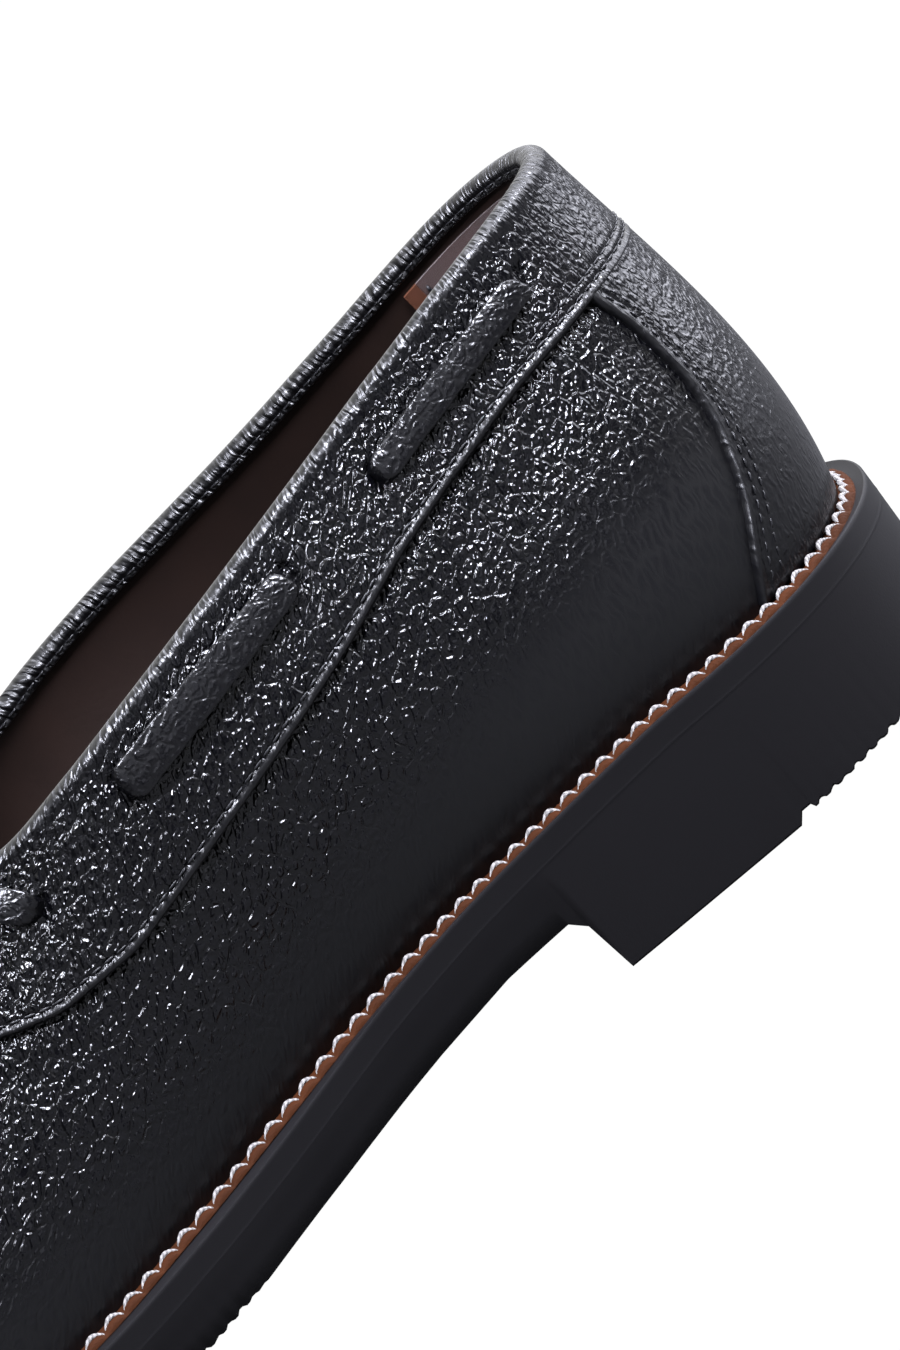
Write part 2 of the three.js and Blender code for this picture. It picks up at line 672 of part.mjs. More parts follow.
// The place above the seam at a length along the shoe, where the wall's points stop passing a test
function wallPlace(side, along, passes) {
  const signed = (around) => (side > 0 ? around : 2 - around);
  let around = aroundAt(along);
  let share = 0;
  for (let pass = 0; pass < 12; pass += 1) {
    const curve = wallCurve(signed(around));
    share = lastShare(curve, passes, seamShare(signed(around)));
    around += (along - curve.getPoint(share).x) / (SOLE_LENGTH * 2);
  }
  return { around: signed(around), share };
}

const sidePlace = (side, along, height) => wallPlace(side, along, (point) => point.z < height);

// The place on the vamp at a length along the shoe and a distance out from its ridge
function vampPlace(side, along, across) {
  return wallPlace(side, along, (point) => Math.abs(point.y - topMiddle(along)) > across);
}

// A flat strip along places on the wall, lying on the overlay; its ends dip and its middle arches
function laceStrip(places, arch) {
  const base = FIT_GAP + OVERLAY_THICKNESS + FIT_GAP;
  const frames = places.map((place) => wallFrame(place.around, place.share));
  const sections = frames.map(({ point, normal }, i) => {
    const before = frames[Math.max(i - 1, 0)].point;
    const after = frames[Math.min(i + 1, frames.length - 1)].point;
    const ahead = after.clone().sub(before).normalize();
    const across = new THREE.Vector3().crossVectors(normal, ahead).normalize();
    const bulge = arch * Math.sin((Math.PI * i) / (frames.length - 1));
    const corner = (sideways, up) => point.clone()
      .addScaledVector(normal, base + bulge + up)
      .addScaledVector(across, (sideways * LACE_WIDTH) / 2);
    return [
      corner(-1, 0),
      corner(-0.8, LACE_THICKNESS),
      corner(0.8, LACE_THICKNESS),
      corner(1, 0),
    ].reverse();
  });
  return loft(sections, false);
}

function laceRunGeometry(side, run) {
  const start = sidePlace(side, run.from.along, run.from.height);
  const end = sidePlace(side, run.to.along, run.to.height);
  const places = Array.from({ length: RUN_SPANS + 1 }, (_, i) => ({
    around: THREE.MathUtils.lerp(start.around, end.around, i / RUN_SPANS),
    share: THREE.MathUtils.lerp(start.share, end.share, i / RUN_SPANS),
  }));
  return laceStrip(places, RUN_ARCH);
}

// The bar from the front slot up over the vamp to the knot, straight when seen from above
function laceBarGeometry(side) {
  const slot = sidePlace(side, LACE_BAR_START.along, LACE_BAR_START.height);
  const slotY = wallCurve(slot.around).getPoint(slot.share).y;
  const from = Math.abs(slotY - topMiddle(LACE_BAR_START.along));
  const to = KNOT_SIZE.across + BAR_CLEARANCE;
  const places = Array.from({ length: BAR_SPANS + 1 }, (_, i) => {
    const along = THREE.MathUtils.lerp(LACE_BAR_START.along, KNOT_ALONG, i / BAR_SPANS);
    return vampPlace(side, along, THREE.MathUtils.lerp(from, to, i / BAR_SPANS));
  });
  return laceStrip(places, BAR_ARCH);
}

// A point of the vamp's ridge, and the directions along it and out of the leather
function ridgeFrame(along) {
  const ridgePoint = (x) => new THREE.Vector3(x, topMiddle(x), topHeight(x));
  const ahead = ridgePoint(along + 2).sub(ridgePoint(along - 2)).normalize();
  const out = new THREE.Vector3().crossVectors(ahead, new THREE.Vector3(0, 1, 0)).normalize();
  return { point: ridgePoint(along), ahead, out };
}

function toManifold(geometry) {
  const bare = geometry.clone();
  bare.deleteAttribute('normal');
  bare.deleteAttribute('uv');
  const merged = mergeVertices(bare, 1e-4);
  return new wasm.Manifold(new wasm.Mesh({
    numProp: 3,
    vertProperties: merged.attributes.position.array,
    triVerts: Uint32Array.from(merged.index.array),
  }));
}

function fromManifold(solid) {
  const mesh = solid.getMesh();
  const geometry = new THREE.BufferGeometry();
  geometry.setAttribute('position', new THREE.BufferAttribute(new Float32Array(mesh.vertProperties), 3));
  geometry.setIndex(new THREE.BufferAttribute(new Uint32Array(mesh.triVerts), 1));
  geometry.computeVertexNormals();
  return geometry;
}

// The knot: a flat round body with one turn of lace over it
function knotGeometry() {
  const body = new THREE.SphereGeometry(1, 16, 10).scale(KNOT_SIZE.along, KNOT_SIZE.across, KNOT_SIZE.up);
  const turn = new THREE.CylinderGeometry(1, 1, LACE_WIDTH, 14, 1)
    .scale(KNOT_SIZE.along + KNOT_WRAP, 1, KNOT_SIZE.up + KNOT_WRAP);
  const solid = toManifold(body).add(toManifold(turn));
  return fromManifold(solid);
}

// A tassel along +X: the cap, a core inside the skirt, and strips fused round it, a little flattened
function tasselGeometry() {
  const end = TASSEL.cap + TASSEL.skirt;
  const profile = [
    new THREE.Vector2(0, 0),
    new THREE.Vector2(TASSEL.capRadius * 0.55, 0),
    new THREE.Vector2(TASSEL.capRadius, 1.6),
    new THREE.Vector2(TASSEL.capRadius, TASSEL.cap),
    new THREE.Vector2(TASSEL.skirtRadius * 0.82, TASSEL.cap + 3),
    new THREE.Vector2(TASSEL.skirtRadius * 0.95, end - 1.5),
    new THREE.Vector2(0, end - 1.5),
  ];
  let solid = toManifold(new THREE.LatheGeometry(profile, 14));
  for (let strip = 0; strip < TASSEL.strips; strip += 1) {
    const shape = new THREE.BoxGeometry(2.2, TASSEL.skirt, 1.3);
    shape.translate(0, TASSEL.cap + TASSEL.skirt / 2 + 0.4 * (strip % 3), 0);
    const tilt = Math.atan2(TASSEL.skirtRadius * 0.2, TASSEL.skirt);
    shape.rotateX(tilt);
    shape.translate(0, 0, TASSEL.skirtRadius * 0.68);
    shape.rotateY((strip * 2 * Math.PI) / TASSEL.strips);
    solid = solid.add(toManifold(shape));
  }
  const geometry = fromManifold(solid);
  geometry.scale(1, 1, TASSEL.flatness);
  geometry.rotateZ(-Math.PI / 2);
  return geometry;
}

function namedMesh(name, geometry, look) {
  const mesh = new THREE.Mesh(geometry, new THREE.MeshStandardMaterial(look));
  mesh.name = name;
  return mesh;
}

// Turns and places a mesh so that its X, Y and Z follow the given directions
function placeOn(mesh, origin, ahead, out) {
  const across = new THREE.Vector3().crossVectors(out, ahead).normalize();
  const basis = new THREE.Matrix4().makeBasis(ahead, across, new THREE.Vector3().crossVectors(ahead, across));
  mesh.quaternion.setFromRotationMatrix(basis);
  mesh.position.copy(origin);
}

// The knot, and on each side a lace end with its tassel, lying on the vamp
function tasselGroup() {
  const group = new THREE.Group();
  const frame = ridgeFrame(KNOT_ALONG);
  const rest = 2 * FIT_GAP + OVERLAY_THICKNESS;
  const knot = namedMesh('lace_knot', knotGeometry(), LACE_LEATHER);
  const knotCentre = frame.point.clone().addScaledVector(frame.out, rest + KNOT_SIZE.up + KNOT_WRAP);
  placeOn(knot, knotCentre, frame.ahead, frame.out);
  group.add(knot);
  SIDES.forEach(({ name, side }) => {
    const tipPlace = vampPlace(side, TASSEL_TIP.along, TASSEL_TIP.across);
    const tip = wallFrame(tipPlace.around, tipPlace.share);
    const lift = rest + TASSEL.skirtRadius * TASSEL.flatness + TASSEL_CLEARANCE;
    const ahead = tip.point.clone().addScaledVector(tip.normal, lift).sub(knotCentre).normalize();
    const start = knotCentre.clone().addScaledVector(ahead, KNOT_SIZE.along + LACE_THICKNESS);
    const end = new THREE.BoxGeometry(LACE_END_LENGTH, LACE_WIDTH * 0.8, LACE_THICKNESS);
    end.translate(LACE_END_LENGTH / 2, 0, 0);
    const laceEnd = namedMesh(`lace_end_${name}`, end, LACE_LEATHER);
    placeOn(laceEnd, start, ahead, tip.normal);
    const tassel = namedMesh(`tassel_${name}`, tasselGeometry(), LACE_LEATHER);
    const hang = start.clone().addScaledVector(ahead, LACE_END_LENGTH + FIT_GAP);
    placeOn(tassel, hang, ahead, tip.normal);
    group.add(laceEnd, tassel);
  });
  return group;
}

function buildShoe() {
  const shoe = new THREE.Group();
  const skin = makeSkin();
  shoe.add(namedMesh('outsole', outsoleGeometry(), SOLE_RUBBER));
  shoe.add(namedMesh('welt', weltGeometry(), WELT_LEATHER));
  shoe.add(namedMesh('insole', insoleGeometry(), INSOLE_LEATHER));
  shoe.add(namedMesh('upper', upperGeometry(skin), BLACK_LEATHER));
  shoe.add(namedMesh('collar_band', bandGeometry(skin), BLACK_LEATHER));
  shoe.add(namedMesh('apron', apronGeometry(skin), BLACK_LEATHER));
  shoe.add(namedMesh('heel_counter', counterGeometry(), BLACK_LEATHER));
  SIDES.forEach(({ name, side }) => {
    LACE_RUNS.forEach((run) => {
      shoe.add(namedMesh(`lace_${run.name}_${name}`, laceRunGeometry(side, run), LACE_LEATHER));
    });
    shoe.add(namedMesh(`lace_bar_${name}`, laceBarGeometry(side), LACE_LEATHER));
  });
  shoe.add(tasselGroup());
  shoe.position.x = -SOLE_LENGTH / 2;
  return shoe;
}

const group = new THREE.Group();
group.add(buildShoe());

export default group;
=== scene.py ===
import logging
import math
from dataclasses import dataclass
from enum import Enum
from functools import lru_cache
from typing import Callable, Mapping, Optional, Sequence, Union

import bpy
import numpy as np
from mathutils import Matrix


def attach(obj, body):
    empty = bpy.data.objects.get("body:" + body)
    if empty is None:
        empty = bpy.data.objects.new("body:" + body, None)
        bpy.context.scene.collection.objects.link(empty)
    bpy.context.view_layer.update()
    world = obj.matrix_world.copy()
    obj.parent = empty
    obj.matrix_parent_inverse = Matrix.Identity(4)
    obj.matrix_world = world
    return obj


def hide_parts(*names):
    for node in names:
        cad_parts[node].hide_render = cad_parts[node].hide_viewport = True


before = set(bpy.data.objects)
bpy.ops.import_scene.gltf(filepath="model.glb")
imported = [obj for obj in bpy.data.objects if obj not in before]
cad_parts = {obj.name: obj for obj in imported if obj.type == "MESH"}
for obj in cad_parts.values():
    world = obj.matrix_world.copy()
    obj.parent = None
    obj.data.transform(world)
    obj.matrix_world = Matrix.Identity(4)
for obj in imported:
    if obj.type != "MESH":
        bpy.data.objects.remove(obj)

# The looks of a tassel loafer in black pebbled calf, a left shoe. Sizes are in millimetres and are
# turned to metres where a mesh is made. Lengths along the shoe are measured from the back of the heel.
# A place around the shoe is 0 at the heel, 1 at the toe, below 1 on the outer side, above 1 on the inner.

LOG = logging.getLogger("loafer")
Array = np.ndarray
Node = bpy.types.Node
MM = 0.001

SOLE_LENGTH = 300.0
HEEL_ROUND = 38.0
TOE_ROUND = 85.0
ROUND_POWER = 2.2
SOLE_FLARE = 1.8
RIM_BAND = 3.8
LEDGE_WIDTH = 2.4
FEATHER_INSET = 6.2
NOTCH = 35.0
BREAST = 72.5
WALL = 2.2
FIT_GAP = 0.3
OVERLAY = 1.3
COLLAR_STATION = 100.0
COLLAR_FRONT = 158.0
COLLAR_BACK = 6.1
COLLAR_HEEL_END = 45.0
COLLAR_SIDE_END = 104.0
BAND_FRONT = 146.0
HOOK_DEPTH = 0.7
KNOT_ALONG = 175.0
STITCH_PITCH = 3.5
# How far an overlay and a lining reach into the skin, so that nothing shows between them.
OVERLAP = 0.12
# The overlays' thickness in the solids, over which the knot and the tassels stand.
SOLID_OVERLAY = 1.0
# The grid on which the flat hide is measured: columns for each unit of place, rows up the wall,
# and the row whose girth counts.
HIDE_COLUMNS = 400
HIDE_ROWS = 40
GIRTH_ROW = 18
# Where the grip's tape and patch lie on the wall, and the sizes of stitches: length, radius, height.
GRIP_HEIGHT = (0.12, 0.965)
SEAM_STITCH = (1.95, 0.17, 0.22)
ROLL_STITCH = (1.9, 0.17, 0.25)
GRIP_STITCH = (1.7, 0.28, 0.3)
COUNTER_STITCH = (1.7, 0.16, 0.2)


class Side(Enum):
    """The two long sides of the shoe; the value is the sign of Y."""

    LATERAL = 1
    MEDIAL = -1


def smooth(low: float, high: float, value: Array) -> Array:
    """A soft step from 0 at low to 1 at high.

    Args:
        low: where the step starts.
        high: where it ends.
        value: the numbers to step.

    Returns:
        3t^2 - 2t^3 of the share t of the way, held between 0 and 1.
    """
    t = np.clip((np.asarray(value, float) - low) / (high - low), 0.0, 1.0)
    return t * t * (3.0 - 2.0 * t)


def unit(vectors: Array) -> Array:
    """The vectors at length one."""
    return vectors / np.maximum(np.linalg.norm(vectors, axis=-1, keepdims=True), 1e-12)


def bell(value: Array, at: Array, width: float) -> Array:
    """A bell-shaped bump of height one at a place."""
    return np.exp(-((value - at) / width) ** 2)


def lengths(points: Array, axis: int = 0) -> Array:
    """The distance run along lines of points from their first point."""
    steps = np.linalg.norm(np.diff(points, axis=axis), axis=-1)
    return np.cumsum(np.insert(steps, 0, 0.0, axis=axis), axis=axis)


@dataclass(frozen=True)
class Table:
    """Sizes in rows, with named columns, read as smooth curves over the first column."""

    columns: tuple[str, ...]
    rows: tuple[tuple[float, ...], ...]

    def curve(self, name: str) -> Callable[[Array], Array]:
        """A curve through one column that doesn't overshoot.

        Cubic Hermite pieces. The slope at a row is the harmonic mean of the straight slopes on its
        two sides, and zero where these have different signs.

        Args:
            name: the column.

        Returns:
            A function of the first column's value.
        """
        x = np.array([row[0] for row in self.rows], float)
        y = np.array([row[self.columns.index(name)] for row in self.rows], float)
        secant = np.diff(y) / np.diff(x)
        before = np.concatenate([secant[:1], secant])
        after = np.concatenate([secant, secant[-1:]])
        total = np.where(before + after == 0, 1.0, before + after)
        slope = np.where(before * after > 0, 2 * before * after / total, 0.0)

        def read(at: Array) -> Array:
            """The curve's value at numbers of the first column."""
            inside = np.clip(np.asarray(at, float), x[0], x[-1])
            i = np.clip(np.searchsorted(x, inside, side="right") - 1, 0, len(x) - 2)
            span = x[i + 1] - x[i]
            t = (inside - x[i]) / span
            rise = (2 * t - 3) * t * t
            bend = (t - 1) * t * span * ((t - 1) * slope[i] + t * slope[i + 1])
            return (1 + rise) * y[i] - rise * y[i + 1] + bend

        return read


SOLE_PLAN = Table(("at", "half", "middle"), (
    (0, 35.5, 0.8), (38, 35.5, 0.8), (60, 34.6, 1.3), (80, 32.8, 2.5), (100, 32.4, 3.8),
    (120, 34.8, 4.5), (140, 39.5, 4.3), (160, 45.3, 3.1), (180, 50.2, 1.6), (200, 52.8, 0.5),
    (215, 53.2, -0.2), (250, 50.6, -1.5), (300, 47, -3.2),
))
RIM_LINE = Table(("at", "rim", "rise"), (
    (0, 25.9, -0.6), (41, 25.8, -0.7), (55, 25.0, -0.8), (69, 23.8, -0.9), (83, 22.4, -0.8),
    (97, 20.3, -0.4), (111, 17.5, 0.1), (125, 14.8, 0.5), (139, 12.8, 0.5), (158, 11.1, 0.2),
    (180, 10.4, 0), (203, 10.5, 0), (225, 11.4, 0), (250, 13.6, 0), (275, 16.9, 0), (300, 21.0, 0),
))
UNDERSIDE = Table(("at", "height"), (
    (0, 2.3), (5, 1.9), (35, 0.8), (35.4, 1.6), (37, 1.6), (38.4, 0), (69.5, 0), (70.5, 8.6),
    (72.5, 10.7), (83.7, 10.3), (97.7, 8.3), (111.7, 5.8), (125.6, 3.3), (136.7, 1.3), (148, 0),
    (204, 0), (225, 0.9), (250, 3.1), (275, 6.4), (300, 10.4),
))
TOP_LINE = Table(("along", "height", "middle", "half", "medial"), (
    (6.1, 90.7, 0.8, 22, 0), (14, 90, 0.8, 22, 0), (20, 89.3, 0.8, 22, 0), (28, 88.1, 0.8, 22, 0),
    (42, 85.4, 0.8, 22.4, 0.3), (56, 82.7, 0.9, 25.2, 0.5), (70, 80, 1, 28, 0.9),
    (84, 77.4, 1.1, 31, 1.5), (98, 74.8, 1.1, 33.2, 2.2), (112, 72, 0.8, 34.2, 2.7),
    (126, 69.6, 0.4, 34.4, 2.9), (136, 69.4, 0, 34.4, 2.7), (145, 70.8, -0.4, 34.4, 1.8),
    (152, 72.5, -0.7, 34.4, 0.7), (158, 73.6, -1, 34.4, 0), (164, 72.6, -1.4, 0, 0),
    (172, 69.4, -1.8, 0, 0), (190, 61.2, -2.6, 0, 0), (216, 51.4, -3.4, 0, 0),
    (240, 44.8, -3.8, 0, 0), (258, 40.8, -4, 0, 0), (267, 38.8, -4, 0, 0),
))
WALL_SHAPE = Table(("at", "lean", "rise", "tuck", "reach", "turn", "push"), (
    (0, 20, 22, 84, 22, 1, 0), (38, 20, 21.5, 78, 22, 1, 0), (60, 21, 21.5, 76, 21, 1, 0),
    (100, 24, 21, 77, 18, 0.5, 0), (118, 23, 22, 66, 19, 0, 0), (130, 22, 23, 50, 20, 0, 0.06),
    (150, 18, 24, 22, 25, 0, 0.24), (171, 15, 26, 3, 29, 0, 0.24), (200, 14, 20, 0, 31, 0, 0.16),
    (230, 12, 17, 0, 29, 0.4, 0.06), (260, 10, 14.5, 0, 25, 1, 0), (285, 8, 12, 0, 20, 1, 0),
    (300, 6, 11, 0, 17, 1, 0),
))
SEAM_LINE = Table(("along", "height"), (
    (0, 74.2), (14, 73.5), (28, 72.2), (42, 69.2), (56, 66), (70, 61.5), (84, 57.8), (98, 54.4),
    (112, 51), (121, 49.3), (131, 49.2), (139, 50.9), (146, 53.4), (156, 55.6), (168, 56),
    (185, 52.5), (205, 47.5), (230, 41.8), (255, 37.8), (280, 35.4), (300, 34.8),
))
COUNTER_EDGE = Table(("share", "at"), (
    (0, 21.6), (0.14, 18), (0.3, 13.4), (0.42, 10.9), (0.56, 8.9), (0.72, 8.1), (0.86, 8.1), (1, 9.1),
))
SMOOTH_LINE = Table(("along", "height"), (
    (0, 44), (20, 52), (45, 47), (70, 41), (95, 34), (115, 28), (140, 24), (180, 22), (300, 30),
))


class Last:
    """The shape that the shoe is made on: its wall as a surface over (around, share)."""

    def __init__(self) -> None:
        """Reads the tables into curves and finds the throat's station."""
        self.half = SOLE_PLAN.curve("half")
        self.middle = SOLE_PLAN.curve("middle")
        self.rim = RIM_LINE.curve("rim")
        self.rise = RIM_LINE.curve("rise")
        self.top_height = TOP_LINE.curve("height")
        self.top_middle = TOP_LINE.curve("middle")
        self.top_half = TOP_LINE.curve("half")
        self.medial_rise = TOP_LINE.curve("medial")
        self.seam_height = SEAM_LINE.curve("height")
        self.counter_at = COUNTER_EDGE.curve("at")
        self.smooth_height = SMOOTH_LINE.curve("height")
        self.shape = {name: WALL_SHAPE.curve(name) for name in WALL_SHAPE.columns[1:]}
        self.throat = float(self.station(24 / 44))
        self.throat_place = float(self.around(self.throat))
        self.ridge_along = Table(("at", "along"), (
            (self.throat, COLLAR_FRONT), (200, 187), (230, 216), (260, 241), (285, 259), (300, 267),
        )).curve("along")
        self.girth_at = np.linspace(-1, 2, 3 * HIDE_COLUMNS + 1)
        rows = self.wall(self.girth_at[:, None], np.linspace(0, 1, HIDE_ROWS + 1)[None, :])
        girth = lengths(rows[:, GIRTH_ROW])
        self.girth = girth - girth[HIDE_COLUMNS]
        self.climb = lengths(rows, 1)

    def station(self, around: Array) -> Array:
        """Length along the sole's edge: half the sole times one minus the cosine of the place."""
        return SOLE_LENGTH * (1 - np.cos(np.pi * np.asarray(around, float))) / 2

    def around(self, at: Array) -> Array:
        """The lateral place around the shoe of a station."""
        return np.arccos(np.clip(1 - 2 * np.asarray(at, float) / SOLE_LENGTH, -1, 1)) / np.pi

    def side(self, around: Array) -> Array:
        """1 on the outer side and -1 on the inner one."""
        return np.where(np.mod(around, 2.0) <= 1.0, 1.0, -1.0)

    def round_end(self, share: Array) -> Array:
        """A round end that swells from 0 to 1, as a quarter of a superellipse."""
        return (1 - (1 - np.clip(share, 0, 1)) ** ROUND_POWER) ** (1 / ROUND_POWER)

    def seat(self, at: Array) -> Array:
        """Height of the surface that the welt and the upper lie on."""
        return self.rim(at) + self.rise(at)

    def sole_edge(self, around: Array) -> Array:
        """The sole's outline seen from above, as (..., 2)."""
        at = self.station(around)
        half = self.half(at) * self.round_end(at / HEEL_ROUND)
        half = half * self.round_end((SOLE_LENGTH - at) / TOE_ROUND)
        return np.stack([at, self.middle(at) + self.side(around) * half], -1)

    def outward(self, around: Array) -> Array:
        """The outline's outward direction seen from above, as (..., 2)."""
        ahead = self.sole_edge(around + 0.002) - self.sole_edge(around - 0.002)
        return unit(np.stack([-ahead[..., 1], ahead[..., 0]], -1))

    def edge(self, around: Array, inset: Array, height: Array) -> Array:
        """A point inside the sole's outline by an inset, at a height, as (..., 3)."""
        flat = self.sole_edge(around) - self.outward(around) * np.asarray(inset, float)[..., None]
        return np.concatenate([flat, np.broadcast_to(height, flat.shape[:-1])[..., None]], -1)

    def top(self, around: Array) -> Array:
        """The wall's top edge: the collar behind the throat, and the vamp's ridge before it.

        Args:
            around: places around the shoe.

        Returns:
            Points, (..., 3). The collar is straight sides between a superelliptic heel and throat.
        """
        at, side = self.station(around), self.side(around)
        heel = COLLAR_BACK + (COLLAR_HEEL_END - COLLAR_BACK) * at / HEEL_ROUND
        share = (at - HEEL_ROUND) / (COLLAR_STATION - HEEL_ROUND)
        flank = COLLAR_HEEL_END + (COLLAR_SIDE_END - COLLAR_HEEL_END) * share
        along_back = np.where(at < HEEL_ROUND, heel, flank)
        round_back = self.round_end((along_back - COLLAR_BACK) / (COLLAR_HEEL_END - COLLAR_BACK))
        across_back = self.top_half(along_back) * round_back
        turn = np.clip((at - COLLAR_STATION) / (self.throat - COLLAR_STATION), 0, 1) * np.pi / 2
        along_mid = COLLAR_SIDE_END + (COLLAR_FRONT - COLLAR_SIDE_END) * np.sin(turn)
        across_mid = self.top_half(along_mid) * np.maximum(np.cos(turn), 0) ** (2 / ROUND_POWER)
        back, mid = at < COLLAR_STATION, at < self.throat - 1e-9
        along = np.where(back, along_back, np.where(mid, along_mid, self.ridge_along(at)))
        across = np.where(back, across_back, np.where(mid, across_mid, 0.0))
        height = self.top_height(along) + np.where(side < 0, self.medial_rise(along), 0.0)
        return np.stack([along, self.top_middle(along) + side * across, height], -1)

    def wall(self, around: Array, share: Array) -> Array:
        """The wall's outer face: one cubic Bezier curve at each place, from feather line to top.

        Args:
            around: places around the shoe.
            share: share of the way up the curve, in a shape that broadcasts with around.

        Returns:
            Points, (..., 3).
        """
        around = np.asarray(around, float)
        at, out = self.station(around), self.outward(around)
        foot = self.edge(around, np.full(around.shape, FEATHER_INSET), self.seat(at) + FIT_GAP)
        top = self.top(around)
        lean, tuck = np.radians(self.shape["lean"](at)), np.radians(self.shape["tuck"](at))
        slope = (self.top_height(top[..., 0] + 1) - self.top_height(top[..., 0] - 1)) / 2
        slope = np.where(at < self.throat - 1e-9, 0.0, slope)
        lower = np.concatenate([out * np.sin(lean)[..., None], np.cos(lean)[..., None]], -1)
        heading = out[..., 0] * self.shape["turn"](at) + self.shape["push"](at)
        heading = unit(np.stack([heading, out[..., 1]], -1)) * np.cos(tuck)[..., None]
        drop = slope * heading[..., 0] - np.sin(tuck)
        upper = np.concatenate([heading, drop[..., None]], -1)
        second = foot + lower * self.shape["rise"](at)[..., None]
        third = top + upper * self.shape["reach"](at)[..., None]
        t = np.asarray(share, float)[..., None]
        return ((1 - t) ** 3 * foot + 3 * (1 - t) ** 2 * t * second
                + 3 * (1 - t) * t * t * third + t ** 3 * top)

    def skin(self, around: Array, share: Array) -> tuple[Array, Array]:
        """Points of the wall and its outward directions there.

        Args:
            around: places around the shoe.
            share: shares of the way up.

        Returns:
            Points and unit normals; the normal is the way up crossed with the way ahead.
        """
        around, share = np.broadcast_arrays(np.asarray(around, float), np.asarray(share, float))
        ahead = self.wall(around + 0.002, share) - self.wall(around - 0.002, share)
        low, high = np.clip(share - 0.01, 0, 1), np.clip(share + 0.01, 0, 1)
        up = self.wall(around, high) - self.wall(around, low)
        return self.wall(around, share), unit(np.cross(up, ahead))

    def speed(self, around: Array, share: Array, step: float = 0.01) -> Array:
        """Millimetres up the wall for each unit of share."""
        rise = self.wall(around, share + step) - self.wall(around, share)
        return np.linalg.norm(rise, axis=-1) / abs(step)

    def top_ahead(self, around: Array) -> Array:
        """The way ahead along the top edge."""
        top = np.ones(len(around))
        return unit(self.wall(around + 0.004, top) - self.wall(around - 0.004, top))

    def overlay(self, around: Array, low: Array, dense: Sequence[float], above: int) -> tuple[Array, ...]:
        """The grid of an overlay from its lower edge to the top, with dense rows near that edge.

        Args:
            around: places around the shoe.
            low: the share at which the lower edge lies.
            dense: distances of the dense rows from it.
            above: number of rows over them.

        Returns:
            Shares, points, normals and each point's distance from the lower edge.
        """
        near = low[:, None] + np.array(dense)[None, :] / self.speed(around, low)[:, None]
        rest = near[:, -1:] + (1 - near[:, -1:]) * np.linspace(0, 1, above)[None, 1:]
        share = np.clip(np.concatenate([near, rest], 1), 0, 1)
        points, normals = self.skin(around[:, None], share)
        return share, points, normals, lengths(points, 1)

    def hide(self, around: Array, share: Array, beyond: Array = 0.0) -> Array:
        """Where points of the wall lie on the flat hide, for the grain.

        The first number is the girth from the heel's back, leaned by 0.45 of the climb, because the
        pull of the last runs up and back. The second is the climb from the welt.

        Args:
            around: places around the shoe.
            share: shares of the way up.
            beyond: length past the top edge.

        Returns:
            Places in millimetres, (..., 3), with zero as the third number.
        """
        around, share, beyond = np.broadcast_arrays(around, share, beyond)
        i, j = (around + 1) * HIDE_COLUMNS, np.clip(share, 0, 1) * HIDE_ROWS
        i0 = np.clip(i.astype(int), 0, 3 * HIDE_COLUMNS - 1)
        j0 = np.clip(j.astype(int), 0, HIDE_ROWS - 1)
        i, j = i - i0, j - j0
        near = self.climb[i0, j0] * (1 - j) + self.climb[i0, j0 + 1] * j
        far = self.climb[i0 + 1, j0] * (1 - j) + self.climb[i0 + 1, j0 + 1] * j
        climb = near * (1 - i) + far * i + beyond
        lean = 0.45 * np.sin(np.pi * around)
        return np.stack([np.interp(around, self.girth_at, self.girth) + lean * climb, climb, 0 * climb], -1)

    def last_share(self, around: Array, passes: Callable[[Array], Array], first: Array = 0.0) -> Array:
        """The share of the wall up to which its points pass a test, by halving.

        Args:
            around: places around the shoe.
            passes: the test, on points.
            first: a share to start from.

        Returns:
            One share for each place.
        """
        low = np.broadcast_to(np.asarray(first, float), np.shape(around)).copy()
        high = np.ones(np.shape(around))
        for _ in range(16):
            share = (low + high) / 2
            good = passes(self.wall(around, share))
            low, high = np.where(good, share, low), np.where(good, high, share)
        return low

    def seam(self, around: Array) -> Array:
        """The share at which the wall meets the long seam."""
        return self.last_share(around, lambda p: p[..., 2] < self.seam_height(p[..., 0]))

    def place(self, side: Side, along: Array, passes: Callable[[Array], Array]) -> tuple[Array, Array]:
        """The places above the seam at lengths along the shoe where points stop passing a test.

        Args:
            side: the side of the shoe.
            along: lengths from the back of the heel.
            passes: the test, on points.

        Returns:
            Places around the shoe and shares, found by stepping the place by the length that it misses.
        """
        along = np.atleast_1d(np.asarray(along, float))
        around = self.around(along)
        for _ in range(5):
            signed = around if side is Side.LATERAL else 2 - around
            share = self.last_share(signed, passes, self.seam(signed))
            speed = SOLE_LENGTH * np.pi / 2 * np.sin(np.pi * around)
            around = around + (along - self.wall(signed, share)[:, 0]) / np.maximum(speed, 120.0)
        return (around if side is Side.LATERAL else 2 - around), share

    @lru_cache(maxsize=None)
    def side_place(self, side: Side, along: float, height: float) -> tuple[Array, Array]:
        """The place on a side at a length along the shoe and a height."""
        return self.place(side, along, lambda p: p[..., 2] < height)

    def vamp_place(self, side: Side, along: Array, across: Array) -> tuple[Array, Array]:
        """The places on the vamp at lengths along the shoe and distances from its ridge."""
        middle = self.top_middle(along)
        return self.place(side, along, lambda p: np.abs(p[..., 1] - middle) > across)

    def ridge(self, along: float) -> tuple[Array, Array, Array]:
        """A point of the vamp's ridge, the way ahead along it, and the way out of the leather."""
        def at(x: float) -> Array:
            """The ridge's point at a length along the shoe."""
            return np.array([x, float(self.top_middle(x)), float(self.top_height(x))])

